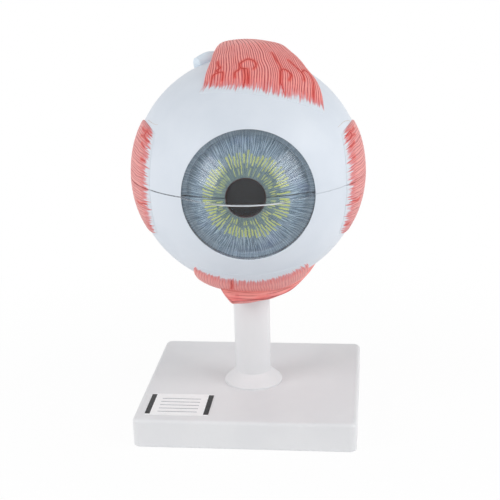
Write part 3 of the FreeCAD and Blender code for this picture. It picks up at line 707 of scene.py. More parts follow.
def makeIrisPaint():
    made, tree, shader = newMaterial("irisPaint", IOR=1.45)
    look, streakCount, dashCount = irisLook, irisSize["streakCount"], irisSize["dashCount"]
    uv = split(pieceUv(tree))
    turn, radius = uv[0], uv[1] * 100.0

    def swirl(around, outwards, shift=0.0, detail=2.0, roughness=0.5):
        # noise of so many cells round the iris and so many a millimetre outwards
        return noise(joined(turn * around, radius * outwards, shift), 1.0, detail, roughness)

    # thin pale rays, one to a cell and each a little off its place, over softer streaks
    sway = between(swirl(40.0, 0.05, 9.0), 0.2, 0.8, -0.8, 0.8)
    ray = between(abs(maths("FRACT", turn * streakCount + sway) - 0.5), 0.36, 0.06)
    ray = ray * between(swirl(120.0, 0.2, 2.0), 0.3, 0.55)
    streak, hair = swirl(streakCount, 0.035, roughness=0.55), swirl(streakCount * 1.7, 0.11, 3.0)
    near, fade = between(radius, 22.0, 12.5), between(radius, 12.5, 23.0, 0.5, 1.0)
    light = mixed(near, look["pale"], look["greenPale"])
    colour = mixed(between(swirl(9.0, 0.12, 7.0, 3.0), 0.48, 0.72, 0.0, 0.5), look["blue"], look["violet"])
    colour = layered(colour, (near * 0.7, look["green"]), (between(streak, 0.5, 0.36, 0.0, 0.55), look["deep"]),
                     (between(streak, 0.54, 0.7, 0.0, 0.3), light), (ray * 0.62 * fade, light),
                     (between(hair, 0.56, 0.68, 0.0, 0.6) * fade, light))

    def dashes(count, inner, outer, spread, share, shift):
        # one dash in most cells round the iris, each with its own ends
        along = turn * count + shift + swirl(20.0, 0.16, shift) * 1.1
        cell, part = maths("FLOOR", along), maths("FRACT", along)
        three = put("SeparateColor", {0: put("TexWhiteNoise", {"W": cell}, noise_dimensions="1D")["Color"]})
        ragged = between(swirl(count * 1.7, 0.9, shift + 2.0), 0.3, 0.7, -0.07, 0.07)
        low, high = inner + three[0] * spread, outer - three[1] * spread
        inRing = between(radius - low, -0.3, 0.4) * between(high - radius, -0.3, 0.4)
        wide = three[1] * 0.12 + (ragged + 0.13)
        return inRing * between(abs(part - 0.5) - wide, 0.12, 0.0) * (three[2] < share)

    outer = dashes(dashCount, 14.6, 23.0, 2.8, 0.95, 0.0)
    inner = dashes(dashCount * 0.9, 11.0, 15.4, 1.6, 0.65, 5.0)
    tone = mixed(between(hair, 0.4, 0.66), look["dash"], look["dashPale"])
    # the upper part is painted darker towards deep blue: painted shade that evens out the extra light the dome's
    # top catches
    above = split(inMillimetres(tree))[2] - eyeHeight
    # the rim zone near the root is painted paler: painted light that lifts the shade under the sclera's edge
    wander = radius + between(streak, 0.3, 0.7, -0.5, 0.5)
    rim = between(wander, 28.2, 31.2, 0.0, 0.42) * between(radius, 31.8, 32.8, 1.0, 0.2)
    colour = layered(colour, (outer * 0.9, tone), (inner * 0.7, tone),
                     (between(above, -8.0, 20.0, 0.0, 0.3), look["deep"]), (rim, look["rim"]),
                     (between(radius, 10.35, 9.95, 0.0, 0.92), look["pupilEdge"]))
    coat(shader, seamShaded(colour, look["seam"], 0.9), between(streak, 0.35, 0.65, 0.5, 0.38),
         streak + hair * 0.5, 0.35)
    return made


settleHalves(irisHalf, "IrisDisc", [makeIrisPaint()], "_uvea", "iris_blue", "_iris")
print("iris made")


muscleSize = {
    "bond": 0.05, "sink": 0.8, "least": 0.08, "seamEdge": 0.12, "tipRound": 0.8, "cutRound": 0.9, "cutDome": 0.7,
    "ridgeGap": 1.45, "lump": 0.3, "strandCount": 150.0, "vessel": 0.21, "thread": 0.16, "threadLift": 0.06,
    "obliqueWidth": 7.0, "socketHole": 10.4,
}
# thickness, lift of the tail, the thickness left at the borders as a share and the power of its fall, the borders'
# rounding, how far the under side reaches below its seat once it has left the globe, and the strands' height
straps = {
    "superior": (5.6, 3.4, 0.45, 8, 1.4, 0.0, 0.22),
    "inferior": (4.8, 3.4, 0.55, 4, 1.4, 0.0, 0.11),
    "side": (4.2, 2.8, 0.6, 4, 1.2, 0.0, 0.16),
    "lowOblique": (4.0, 4.8, 0.7, 6, 0.9, 2.2, 0.22),
    "highOblique": (5.0, 0.0, 0.45, 4, 1.4, 0.0, 0.22),
}
muscleLook = paints(
    red=0xEC726F, deep=0x92222A, pale=0xEEA09E, crest=0xFFB6AC, bright=0xDE5C58, glow=0xE03A2A, vessel=0xBC2C26,
    vesselTint=0x961E1C, tendon=0xDBE2EB, tendonPink=0xDEB0B6, wash=0xB29294, thread=0xCEC4BC, threadTint=0xBEAAA0,
    cut=0xBE5C5C, cutPale=0xDE9692, seam=0x965A5C, white=0xE2EEF8, whiteTint=0xD8E5F1)

# rows: off, clock from, clock to, lift share, thickness share, bow
superiorRows = [(51, 42, 117, 0, .036, 9), (56, 45, 113, 0, .161, 8), (66, 50, 110, 0, .536, 6),
                (78, 58, 107, .029, .821, 3), (90, 66, 105, .294, 1, 1), (100, 72, 104, .765, 1, 0),
                (112, 79, 102.5, 1, .893, 0)]
inferiorRows = [(46, -124, -55, 0, .042, 7), (52, -124, -55, 0, .208, 7), (60, -122, -57, 0, .542, 5),
                (69, -118, -61, 0, .833, 3), (78, -114, -65, 0, .917, 1.5), (90, -110, -70, .029, .958, 0),
                (104, -106, -74, .471, 1, 0), (115, -103, -77, 1, .958, 0)]
# rows: off, half width in clock degrees, lift share, thickness share, bow
sideRows = [(54, 31, 0, .048, 7), (60, 31, 0, .19, 7), (70, 30.5, 0, .262, 5), (80, 29.5, 0, .31, 3),
            (90, 28, 0, .357, 1), (99, 25.5, .071, .524, 0), (108, 22, .429, .81, 0), (117, 18, 1, 1, 0)]
# rows: x, f, z of the middle, half width share, lift share, thickness share
superiorObliqueRows = [(-25, -9, 54.5, .857, 0, .88), (-19, -11.5, 56.5, 1, 0, 1), (-12.5, -14.5, 57.8, 1, 0, .6),
                       (-6, -18, 58.2, 1, 0, .4), (1, -22, 57, 1.086, 0, .38), (8, -27, 54.5, 1.257, 0, .32),
                       (14.5, -32, 50.5, 1.486, 0, .22), (20.5, -37, 45.5, 1.714, 0, .06)]
inferiorObliqueRows = [(-15.2, 17.6, -55, .943, .6, .1), (-12, 17.85, -55.95, .97, .9, .7),
                       (-8.8, 17.95, -56.5, 1, 1, 1.32), (-6, 18, -57, 1, 1, 1.2), (1, 17, -57.5, 1, 1, 1.02),
                       (9.5, 13.5, -57.7, 1, 1, .8), (17.5, 8, -56.8, 1.029, .85, .6),
                       (25, 1.5, -54.5, 1.057, .45, .48), (32, -6, -50.4, 1.114, .04, .4),
                       (38, -13.5, -44.4, 1.186, 0, .36), (43.5, -20.5, -35.9, 1.314, 0, .28),
                       (48, -27, -23.7, 1.5, 0, .075)]

# vessels: (share across, mm from the insertion) along each
superiorVessels = [
    [(.9, 24), (.89, 20), (.87, 17.5), (.9, 15.5), (.885, 13.5), (.92, 12), (.93, 8), (.93, 3.5)],
    [(.885, 13.5), (.85, 13.5), (.845, 10), (.85, 7.5)],
    [(.75, 9.5), (.75, 13), (.71, 16), (.71, 20), (.68, 22.5), (.64, 24.5), (.6, 24), (.575, 21.5), (.58, 19),
     (.6, 16.5)],
    [(.71, 16.8), (.68, 16.4), (.65, 16.2)], [(.68, 16.4), (.67, 10), (.68, 3)],
    [(.65, 16.2), (.645, 11), (.64, 6)],
    [(.39, 34), (.38, 28), (.365, 22), (.375, 17.5), (.38, 14), (.38, 10), (.36, 7), (.335, 2.5)],
    [(.375, 17.5), (.345, 20), (.31, 19), (.29, 16.5), (.31, 13)],
    [(.25, 30), (.21, 26), (.18, 22), (.13, 25.5), (.095, 24), (.09, 18), (.1, 11), (.1, 4)],
    [(.18, 22), (.175, 19), (.18, 16)],
]
inferiorVessels = [[(.33, 6), (.327, 9), (.335, 13), (.33, 18)]]
sideVessels = {
    1: [[(.93, 2.5), (.9, 6), (.92, 10), (.89, 15), (.9, 21)], [(.83, 3), (.8, 7), (.82, 12), (.79, 18)],
        [(.92, 10), (.86, 12), (.82, 12)], [(.7, 4), (.68, 8), (.7, 13)], [(.48, 5), (.47, 10)]],
    -1: [[(.35, 3), (.33, 7), (.36, 12), (.34, 17)], [(.8, 4), (.78, 9)]],
}
# loose tendon threads beside the side muscles: (off, clock) along each
threads = [[(77.5, 148.4), (74.2, 147.7), (67.2, 146.3), (63.8, 144.8)],
           [(70, 151.8), (66.2, 151.2), (61.8, 150.6)],
           [(79, 27.8), (76.9, 28.7), (70.2, 30.9), (64.8, 31.5), (61.7, 31.9)]]


def rectusWays(rows, count, columns):
    # directions over a straight muscle's fan, its borders bow degrees further back: off + bow q^2
    table = smoothRows(rows, count)
    q = np.linspace(-1, 1, columns)[None, :]
    clock = table[:, 1:2] + (table[:, 2:3] - table[:, 1:2]) * (q + 1) / 2
    return direction(table[:, :1] + table[:, 5:6] * q * q, clock), q + 0 * clock, table[:, 3:4], table[:, 4:5]


def sideWays(side, medial, count, columns):
    # half of a side muscle, from the seam plane (q = 0) out to its border (q = 1)
    table = smoothRows(sideRows, count)
    reach = 0.9 if (side > 0) != medial else 1.0
    q = np.linspace(0, 1, columns)[None, :]
    middle, turn = (180, -side) if medial else (0, side)
    ways = direction(table[:, :1] + table[:, 4:5] * q * q, middle + turn * table[:, 1:2] * reach * q)
    return ways, q + 0 * ways[..., 0], table[:, 2:3], table[:, 3:4]


def obliqueWays(rows, count, columns):
    # a strap whose rows stand square to the line through its stations
    table = smoothRows(rows, count)
    middle = unit(table[:, :3] * [1, -1, 1])
    sideways = unit(np.cross(middle, np.gradient(middle, axis=0)))
    q = np.linspace(-1, 1, columns)[None, :]
    angle = (q * table[:, 3:4] * muscleSize["obliqueWidth"] / globeRadius)[..., None]
    ways = middle[:, None] * np.cos(angle) + sideways[:, None] * np.sin(angle)
    return ways, q + 0 * angle[..., 0], table[:, 4:5], table[:, 5:6]


def roundOff(distance, radius):
    # a quarter circle's height over its own edge
    return np.sqrt(np.clip(1 - (1 - np.clip(distance / radius, 0, 1)) ** 2, 0, 1))


def strandRidges(share, along, count, seed):
    # rounded ridges with narrow grooves, |sin(pi N s)|, half as many where the strap has narrowed; s starts half a
    # ridge on, so that a crest runs along the border
    s = share + 0.5 / count + 0.005 * waves(along / 40, [1, 2.3], seed)
    s = s + 0.4 / count * waves(share, [3.1, 5.7, 9.3], seed + 1)
    s = s + 0.12 / count * waves(along / 18 + 3 * share, [1, 1.7], seed + 2)
    narrowed = smoothStep(0.4, 0.75, along / along.max())
    full, halved = (np.abs(np.sin(math.pi * n * s)) for n in (count, count / 2))
    return (1 - narrowed) * full + narrowed * halved


def onGrid(grid, row, column):
    # a grid's values between its points
    i, j = (np.clip(at.astype(int), 0, n - 2) for at, n in zip((row, column), grid.shape))
    a, b = (row - i)[:, None], (column - j)[:, None]
    here, below = ((1 - b) * grid[k, j] + b * grid[k, j + 1] for k in (i, i + 1))
    return (1 - a) * here + a * below


def muscleBody(name, course, strap, seed, thinFirst=True, seamSide=0, vessels=()):
    # A strap on the globe: seat and skin heights along each direction, its section rounded at the borders and
    # ridged along its length. Its vessels lie in the skin as thin tubes.
    s = muscleSize
    thickness, tailLift, edge, power, border, below, ridge = straps[strap]
    ways, q, liftShare, thickShare = course
    lift = liftShare * tailLift
    skin = np.maximum(thickShare * thickness * (1 - (1 - edge) * np.abs(q) ** power), s["least"])
    seat = globeRadius + s["bond"] + lift + 0 * q
    away = smoothStep(0, 0.35, lift)
    bottom = seat - s["sink"] * (1 - away) - below * smoothStep(1.0, 3.5, lift)
    top = seat + skin
    at = ways * top[..., None]
    across, length = runs(at, 1), runs(at)
    width = across[:, -1:]
    share = q if seamSide else q / 2 + 0.5
    fromIn, fromOut = length, length[-1:] - length
    if not thinFirst:
        fromIn, fromOut = fromOut, fromIn
    rim = roundOff(width - across, border) * roundOff(across, s["seamEdge"] if seamSide else border)
    rim = rim * roundOff(fromIn, s["tipRound"])
    half, middle = (top - bottom) / 2, (top + bottom) / 2
    height = half * rim * (0.8 + 0.2 * roundOff(fromOut, s["cutRound"]))
    ridges = strandRidges(share, fromIn, 2 * round(width.max() / s["ridgeGap"] / 2), seed)
    grown = smoothStep(0.3, 1.6, skin)
    lumps = s["lump"] * waves(length / 60 + 0.3 * share, [2, 3.7], seed + 4) * smoothStep(1.0, 3.0, skin)
    upper = ways * (middle + height + (ridge * (ridges - 0.6) * grown + lumps) * rim)[..., None]
    lower = ways * (middle - height)[..., None]
    uv = np.stack([share * width.mean() / 100, fromIn / 100], -1)
    seam = glow = np.zeros_like(q)
    if seamSide:
        for z in (upper[..., 2], lower[..., 2]):
            z[:, 0] = 0
            z[np.abs(z) < seamGap] = seamSide * seamGap
        seam = 1 - smoothStep(0.1, 0.35, across)
    tubes = []
    for vessel in vessels:
        path = smoothRows(vessel, 12 * len(vessel))
        row = np.interp(path[:, 1], fromIn[:, q.shape[1] // 2], np.arange(len(q)))
        path = onGrid(upper, row, path[:, 0] * (q.shape[1] - 1))
        ends = np.linspace(-1, 1, len(path))
        tubes.append(tubeOnBall(path, s["vessel"] * (0.35 + 0.65 * np.sqrt(1 - ends ** 2)), 0.7))
        for point in path:
            glow = np.maximum(glow, np.exp(-np.linalg.norm(upper - point, axis=2) ** 2))
    last, beside = (-1, -2) if thinFirst else (0, 1)
    steps = np.linspace(0, 1, 9)[:, None, None]
    domed = unit(upper[last] - upper[beside]) * (4 * steps * (1 - steps)) * s["cutDome"] * rim[last][:, None]
    cut = upper[last] * (1 - steps) + lower[last] * steps + domed
    down = 0.06 * steps[..., 0]
    cutUv = np.stack([share[last] * width.mean() / 100 + 0 * down, down + 0 * cut[..., 0]], -1)
    groove = 1 - smoothStep(0.05, 0.95, ridges) * smoothStep(0.25, 1.0, skin)
    marks = {"seam": seam, "groove": groove, "glow": glow, "middle": 1 - q * q}
    return buildMesh(name, [{"points": upper, "uv": uv, "marks": marks},
                            {"points": lower, "uv": uv, "marks": {"seam": seam}},
                            {"points": cut, "uv": cutUv, "slot": 1}], 60), tubes


def makeMuscleFlesh(name, gain=0.0, fringe=3.6, bare=1.8, bow=0.0, dark=1.0, layers=0.0, wash=0.0, shine=0.5):
    # Red strands that pale into the tendon in ragged teeth: V = 0 at the insertion, bare mm of plain tendon
    # and bow mm more in the middle, then teeth of up to fringe mm. gain lifts the whole towards the pale strand,
    # which on the inferior rectus's copy is painted light. dark is how much the grooves show and shine how much
    # the crests between them are lightened, a painted highlight; layers how much the strands show through the
    # strap's depth, on its side, and wash greys the whole.
    made, tree, shader = newMaterial(name, IOR=1.45)
    look, count = muscleLook, muscleSize["strandCount"]
    uv, place = pieceUv(tree), inMillimetres(tree)
    strands, teeth = fibres(uv, count, 0.16), fibres(uv, count * 0.62, 0.9)
    broken = between(noise(place, 0.5, 2.0), 0.25, 0.6, 0.5 * dark, dark)
    groove = between(mark(tree, "groove"), 0.35, 0.95) * broken
    # painted highlight: the crests are lightened towards crest pink, by shine
    crest = between(mark(tree, "groove"), 0.25, 0.0, 0.0, shine)
    colour = mixed(between(noise(place, 0.09), 0.38, 0.7, 0.0, 0.45), look["red"], look["bright"])
    colour = layered(colour, (strands["Mask"] * 0.4, look["pale"]), (gain, look["pale"]), (wash, look["wash"]),
                     (crest, look["crest"]), (groove, look["deep"]), (strands["Fine"] * 0.25, look["pale"]))
    v = split(uv)[1] * 100.0
    if layers:
        depth = distance(place, (0.0, 0.0, eyeHeight)) * 1.15
        layer = noise(joined(depth, v * 0.05), 1.0)
        colour = layered(colour, (between(layer, 0.5, 0.36, 0.0, layers), look["deep"]),
                         (between(layer, 0.52, 0.68, 0.0, layers), look["pale"]))
    wander = between(noise(place, 0.22, 2.0), 0.3, 0.7, -0.9, 0.9) + mark(tree, "middle") * bow
    fromTip = v - (teeth["Mask"] * fringe + wander + bare)
    finger = between(fromTip, 2.4, -0.2) * between(teeth["Fine"], 0.3, 0.8, 0.5, 1.0)
    streak = between(teeth["Fine"], 0.5, 0.7) * between(fromTip, 6.0, 1.0, 0.0, 0.75)
    colour = layered(colour, (between(fromTip, 7.0, 1.0) * 0.6, look["bright"]),
                     (mark(tree, "glow") * 0.75, look["glow"]), (finger, look["tendonPink"]),
                     (streak, look["tendonPink"]), (between(fromTip, 0.6, -1.6), look["tendon"]))
    coat(shader, seamShaded(colour, look["seam"], 0.35), between(strands["Fine"], 0.0, 1.0, 0.52, 0.42),
         strands["Mask"] + strands["Fine"] * 0.6, 0.3)
    return made


def makeMuscleCut():
    # the cut end: bundles with pale sheaths between them
    made, tree, shader = newMaterial("muscleCut", IOR=1.45)
    look, place = muscleLook, inMillimetres(tree)
    cells, small = cellEdges(place, 0.9), noise(place, 2.2)
    colour = mixed(between(small, 0.35, 0.65), look["cut"], look["deep"])
    coat(shader, mixed(between(cells, 0.12, 0.02), colour, look["cutPale"]), between(small, 0.3, 0.7, 0.55, 0.42),
         between(cells, 0.0, 0.2), 0.5, 0.0005)
    return made


def makeTendonWhite():
    made, tree, shader = newMaterial("tendonWhite", IOR=1.45)
    strands = fibres(pieceUv(tree), 90.0, 0.3)
    coat(shader, mixed(strands["Mask"] * 0.6, muscleLook["white"], muscleLook["whiteTint"]),
         between(strands["Fine"], 0.0, 1.0, 0.48, 0.4), strands["Mask"], 0.25)
    return made


def placeMuscle(body, node, flesh, slot, *course, **more):
    piece, tubes = muscleBody(*course, **more)
    settle(piece, [flesh, muscleCut if slot == "muscle_red" else flesh], body, slot, node)
    if tubes:
        settleCords(piece.name + "Vessels", tubes, vesselRed, body, slot)
    return piece


muscleFlesh = makeMuscleFlesh("muscleFlesh", shine=0.72)
# the inferior rectus's copy, lifted towards the pale strand: painted light that lifts the shade it lies in under
# the globe
paintLitFlesh = makeMuscleFlesh("paintLitFlesh", 0.7, 3.2, 2.0, 3.4, 0.27)
sideFlesh = makeMuscleFlesh("sideFlesh", 0.24, 5.6, 0.8, dark=0.6, wash=0.3)
obliqueFlesh = makeMuscleFlesh("obliqueFlesh", 0.15, 2.2, 2.6, layers=0.5)
muscleCut, tendonWhite = makeMuscleCut(), makeTendonWhite()
vesselRed = vesselPaint("vesselRed", muscleLook, "vessel")
threadPale = plasticMaterial("threadPale", muscleLook, "thread", 0.4, 0.7, 0.45, 0.1)

placeMuscle("upper_globe", "superior_rectus", muscleFlesh, "muscle_red", "superiorRectusBelly",
            rectusWays(superiorRows, 120, 300), "superior", 3, vessels=superiorVessels)
inferior = placeMuscle("lower_globe", "inferior_rectus", paintLitFlesh, "muscle_red", "inferiorRectusBelly",
                       rectusWays(inferiorRows, 110, 260), "inferior", 11, vessels=inferiorVessels)
shaped(inferior, rod(muscleSize["socketHole"], -80, -40, 64))  # clear of the socket boss
placeMuscle("lower_globe", "inferior_oblique", obliqueFlesh, "muscle_red", "inferiorObliqueBelly",
            obliqueWays(inferiorObliqueRows, 140, 90), "lowOblique", 31, thinFirst=False)
placeMuscle("upper_globe", "superior_oblique_tendon", tendonWhite, "tendon_white", "superiorObliqueTendon",
            obliqueWays(superiorObliqueRows, 120, 80), "highOblique", 41, thinFirst=False)
for side, half in halves:
    for medial, which in ((True, "medial"), (False, "lateral")):
        placeMuscle(half + "_globe", which + "_rectus_" + half, sideFlesh, "muscle_red",
                    which + "Rectus" + half.capitalize(), sideWays(side, medial, 100, 130), "side",
                    21 + 7 * medial + side, seamSide=side, vessels=sideVessels[side])

tubes = []
for path in (smoothRows(thread, 24) for thread in threads):
    thin = muscleSize["thread"] * np.linspace(1, 0.45, len(path))
    tubes.append(tubeOnBall((globeRadius + muscleSize["threadLift"]) * direction(*path.T), thin, 0.7))
settleCords("tendonThreads", tubes, threadPale, "upper_globe", "tendon_white")
print("muscles made")


nerveLook = paints(sheath=0xE0DED6, sheathTint=0xCECAC0, core=0xE2CA7A, corePale=0xEEE0A8, artery=0xBE302C,
                   arteryTint=0xA82424, vein=0x3E54A0, veinTint=0x32448A)


def makeNerveCore():
    # bundles of the nerve, seen end on and along it
    made, tree, shader = newMaterial("nerveCore", IOR=1.45)
    cells = cellEdges(stretched(inMillimetres(tree), 1.0, 0.12), 0.95)
    coat(shader, mixed(between(cells, 0.02, 0.14), nerveLook["corePale"], nerveLook["core"]),
         between(cells, 0.0, 0.2, 0.5, 0.4), between(cells, 0.0, 0.2), 0.5, 0.0005)
    return made


nerveCore = makeNerveCore()
nerveSheath = plasticMaterial("nerveSheath", nerveLook, "sheath", 0.25, 0.7, 0.45, 0.2)
for _, half in halves:
    dress(nodes["optic_nerve_core_" + half], nerveCore)
    dress(nodes["optic_nerve_sheath_" + half], nerveSheath)
dress(nodes["central_artery"], vesselPaint("arteryRed", nerveLook, "artery", 0.4))
dress(nodes["central_vein"], vesselPaint("veinBlue", nerveLook, "vein", 0.4))
print("nerve dressed")


innerSize = {"choroidOuter": 57.2, "choroidInner": 54.7, "choroidFront": 44.0, "retinaOuter": 54.65,
             "retinaInner": 53.85, "ora": 65.0, "disc": 4.5, "edge": 0.28, "liningEdge": 0.2, "rim": 0.25,
             "retinaVessel": 0.3, "veinShift": 2.4, "vortexVein": 0.55, "vortexOff": 116.0, "vortexReach": 30.0,
             "fovea": 1.6, "macula": 6.5, "pinBearings": (75.0, 150.0, 285.0), "pinBore": 0.81, "pinDepth": 3.9}
innerLook = paints(
    choroid=0x964A3C, choroidTint=0x76322C, vein=0x5C2226, veinTint=0x461A22, retina=0xE0865A, retinaTint=0xCE6C48,
    macula=0xA84630, fovea=0x782C22, artery=0xC42C24, arteryTint=0xA8241E, vessel=0x7A2230, vesselTint=0x621C2C,
    disc=0xECD082, discTint=0xE0BA68, seam=0x46221E, ciliary=0x603E34, ciliaryTint=0x3C2622, ciliaryPale=0x8A6454)

# retinal vessels of one half: degrees from the back of the eye, temporal then away from the seam
arcades = [
    [(-15, 1.5), (-13.5, 7), (-8, 14), (2, 19), (14, 20), (28, 17), (42, 15), (54, 16)],
    [(2, 19), (9, 27), (18, 34), (30, 40), (40, 43)],
    [(-8, 14), (-6, 25), (-1, 37), (3, 48), (8, 58)],
    [(14, 20), (24, 24), (36, 27), (50, 30)],
    [(-15, 1.5), (-17.5, 7), (-25, 13), (-36, 18), (-48, 22), (-58, 25)],
    [(-25, 13), (-29, 23), (-36, 33), (-42, 44)],
    [(-36, 18), (-44, 28), (-52, 35)],
]


def backOfEye(path, radius):
    # (temporal, upward) degrees from the back pole as points on a ball
    a, b = np.radians(path.T)
    return radius * np.stack([np.sin(a) * np.cos(b), np.cos(a) * np.cos(b), np.sin(b)], -1)


def retinalVessels(side, shift, seed):
    # each vessel wanders a little off its arcade and thins to its end
    s = innerSize
    tubes = []
    for k, arcade in enumerate(arcades):
        path = smoothRows(arcade, 14 * len(arcade))
        along = np.linspace(0, 1, len(path))
        for axis, counts in enumerate(([2.3, 4.1], [1.9, 3.7])):
            wander = shift + 0.7 * waves(along, counts, seed + k + 9 * axis)
            path[:, axis] += wander * smoothStep(0, 0.15, along)
        path[:, 1] *= side
        width = s["retinaVessel"] * (1.0 if k in (0, 4) else 0.62)
        tubes.append(tubeOnBall(backOfEye(path, s["retinaInner"] - 0.02), width * (1 - 0.62 * along), 0.8, -1))
    return tubes


def vortexVeins(side):
    # whorls of flat veins on the choroid, one to a quarter, gathering at vortexOff from the gaze
    s = innerSize
    tubes = []
    for middle in (48, 132):
        for k, turn in enumerate(np.linspace(0, 360, 9)[:-1]):
            along = np.linspace(0.04, 1, 40)
            bearing = np.radians(turn + 50 * along + 6 * waves(along, [1.3], 60 + k))
            reach = s["vortexReach"] * along * (0.8 + 0.2 * math.cos(math.radians(2 * turn)))
            off = np.clip(s["vortexOff"] + reach * np.cos(bearing), 47, 158)
            clock = np.clip(middle + reach * np.sin(bearing) / math.sin(math.radians(s["vortexOff"])), 3, 177)
            points = s["choroidOuter"] * direction(off, side * clock)
            tubes.append(tubeOnBall(points, s["vortexVein"] * (1 - 0.6 * along), 0.22))
    return tubes


def ballShell(side, name, outer, inner, frontOff, edge):
    # half a ball shell from the back pole to frontOff, with the nerve's round hole
    profile = poleToPole([*arc(outer, 180, frontOff, 70), *arc(inner, frontOff, 180, 70)], innerSize["rim"])
    return shaped(buildMesh(name, halfTurned(profile[::-1], side, edge)),
                  nerveRod(innerSize["disc"], inner - 6, outer + 3))


def makeRetinaPaint():
    # orange, veined under the surface, with the darker macula and fovea at the back pole
    made, tree, shader = newMaterial("retinaPaint", IOR=1.46)
    look, s, place = innerLook, innerSize, inMillimetres(tree)
    grain = grained(tree, look, "retina", 0.07, 0.7, 0.4)
    pole = [float(v) for v in 1000 * toStand(np.array([0.0, s["retinaInner"], 0.0]))]
    reach = distance(place, pole) + between(noise(place, 0.6, 2.0), 0.2, 0.8, -0.8, 0.8)
    colour = layered(grain, (between(cellEdges(place, 0.32), 0.09, 0.0, 0.0, 0.28), look["macula"]),
                     (between(reach, s["macula"], 1.5, 0.0, 0.8), look["macula"]),
                     (between(reach, s["fovea"] + 0.6, s["fovea"] - 0.6, 0.0, 0.9), look["fovea"]))
    coat(shader, seamShaded(colour, look["seam"], 0.6), grain["Roughness"], grain["Height"], 0.15)
    return made


choroidPaint = plasticMaterial("choroidPaint", innerLook, "choroid", 0.12, 0.8, 0.42, 0.2, True)
choroidVein = plasticMaterial("choroidVein", innerLook, "vein", 0.3, 0.6, 0.38, 0.1)
retinaPaint = makeRetinaPaint()
retinaArtery = vesselPaint("retinaArtery", innerLook, "artery")
retinaVein = vesselPaint("retinaVein", innerLook, "vessel")
discYellow = plasticMaterial("discYellow", innerLook, "disc", 0.5, 0.6, 0.4, 0.15)
for side, half in halves:
    s, body = innerSize, half + "_uvea"
    outer, inner = s["choroidOuter"], s["choroidInner"]
    shell = ballShell(side, half + "ChoroidShell", outer, inner, s["choroidFront"], s["edge"])
    if side > 0:
        shaped(shell, pinSockets((outer + inner) / 2, s))
    settle(shell, [choroidPaint], body, "choroid_brown", half + "_choroid")
    lining = ballShell(side, half + "RetinaLining", s["retinaOuter"], s["retinaInner"], s["ora"], s["liningEdge"])
    settle(lining, [retinaPaint], body, "retina_orange", half + "_retina")
    dress(nodes["optic_disc_" + half], discYellow)
    settleCords(half + "VortexVeins", vortexVeins(side), choroidVein, body, "choroid_brown")
    settleCords(half + "RetinalArteries", retinalVessels(side, 0.0, 70), retinaArtery, body, "artery_red")
    settleCords(half + "RetinalVeins", retinalVessels(side, s["veinShift"], 90), retinaVein, body, "vein_blue")
print("inner shells made")


ciliarySize = {"plana": 53.5, "front": 36.64, "ridgeOff": 47.4, "crest": 24.8, "irisBack": 45.9, "lensBack": 43.0,
               "lensFront": 45.0, "processCount": 72, "process": 1.1, "rim": 0.25, "edge": 0.25}


def ciliaryRelief(r, clock, forward):
    # radial processes round the lens, valleys between them sunk below the ridge, fading on the flat part
    s = ciliarySize
    share = clock / (2 * math.pi)
    wave = np.cos(2 * math.pi * (s["processCount"] * share + 0.05 * waves(share, [7, 13], 5)))
    valley = -s["process"] * smoothStep(0.2, -0.8, wave)
    body = smoothStep(s["crest"] - 0.5, s["crest"] + 1.5, r) * (1 - smoothStep(34, 38.5, r))
    striae = -0.12 * smoothStep(0.0, -1.0, wave) * smoothStep(36, 39, r) * (1 - smoothStep(46, 48.4, r))
    return (valley * body + striae) * smoothStep(0.1, -0.3, forward)


def ciliaryHalf(side, name):
    # a ring from the choroid's front to the crest that holds the lens
    s, outer, inner = ciliarySize, innerSize["choroidOuter"], innerSize["choroidInner"]
    crest, choroidFront, ora = s["crest"], innerSize["choroidFront"], innerSize["ora"]
    profile = [*arc(outer, s["front"], choroidFront, 10), *arc(inner, choroidFront, ora, 26),
               *arc(s["plana"], ora, s["ridgeOff"], 22)]
    cone = np.linspace(profile[-1], [crest + 1.2, s["lensBack"] - 1.6], 22)
    start = np.array([(outer * math.sin(math.radians(s["front"])) + crest + 4) / 2, s["irisBack"]])
    loop = [start, *profile, *cone[1:], (crest, s["lensBack"] - 0.4), (crest, s["lensFront"]),
            (crest + 4, s["irisBack"]), start]
    return buildMesh(name, halfTurned(softLoop(loop, s["rim"]), side, s["edge"], 430, True, ciliaryRelief))


def makeCiliaryPaint():
    # brown, rayed with paler streaks and paler on the flat part
    made, tree, shader = newMaterial("ciliaryPaint", IOR=1.45)
    look, uv = innerLook, split(pieceUv(tree))
    radius = uv[1] * 100.0
    ray = noise(joined(uv[0] * 210.0, radius * 0.12), 1.0)
    grain = grained(tree, look, "ciliary", 0.3, 0.7, 0.45)
    colour = layered(grain, (between(ray, 0.4, 0.62, 0.0, 0.7), look["ciliaryPale"]),
                     (between(radius, 44.0, 49.0, 0.0, 0.6), look["ciliaryPale"]))
    coat(shader, seamShaded(colour, look["seam"], 0.7), grain["Roughness"], ray, 0.3)
    return made


settleHalves(ciliaryHalf, "CiliaryRing", [makeCiliaryPaint()], "_uvea", "ciliary_brown", "_ciliary_body")
print("ciliary ring made")


clearSize = {"lensRim": 23.0, "lensFrontRim": 45.0, "lensFrontRadius": 50.8, "lensBackRadius": 30.5,
             "lensPivot": 63.03, "soft": 0.35}
clearLook = paints(lens=0xE4E9EE, vitreous=0xF0F4F7)


def lensBody():
    # two caps of balls and a narrow rim between them, turned round the gaze
    s = clearSize
    front, back, rim = s["lensFrontRadius"], s["lensBackRadius"], s["lensRim"]
    centre = s["lensFrontRim"] - math.sqrt(front ** 2 - rim ** 2)
    profile = poleToPole([*arc(front, 0, offAngle(front, rim), 40, centre),
                          *arc(back, 180 - offAngle(back, rim), 180, 40, s["lensPivot"])], s["soft"])
    return buildMesh("lensBody", [turned(profile, 128, lambda p: p[..., [0, 2, 1]] * [1, -1, 1])])


settle(lensBody(), [clearMaterial("lensClear", clearLook["lens"], 0.01, 1.24)], "lens_body", "lens_clear", "lens")
vitreousClear = clearMaterial("vitreousClear", clearLook["vitreous"], 0.02, 1.15)
for name in ("vitreous_front", "vitreous_rear"):
    dress(nodes[name], vitreousClear)
print("clear pieces dressed")


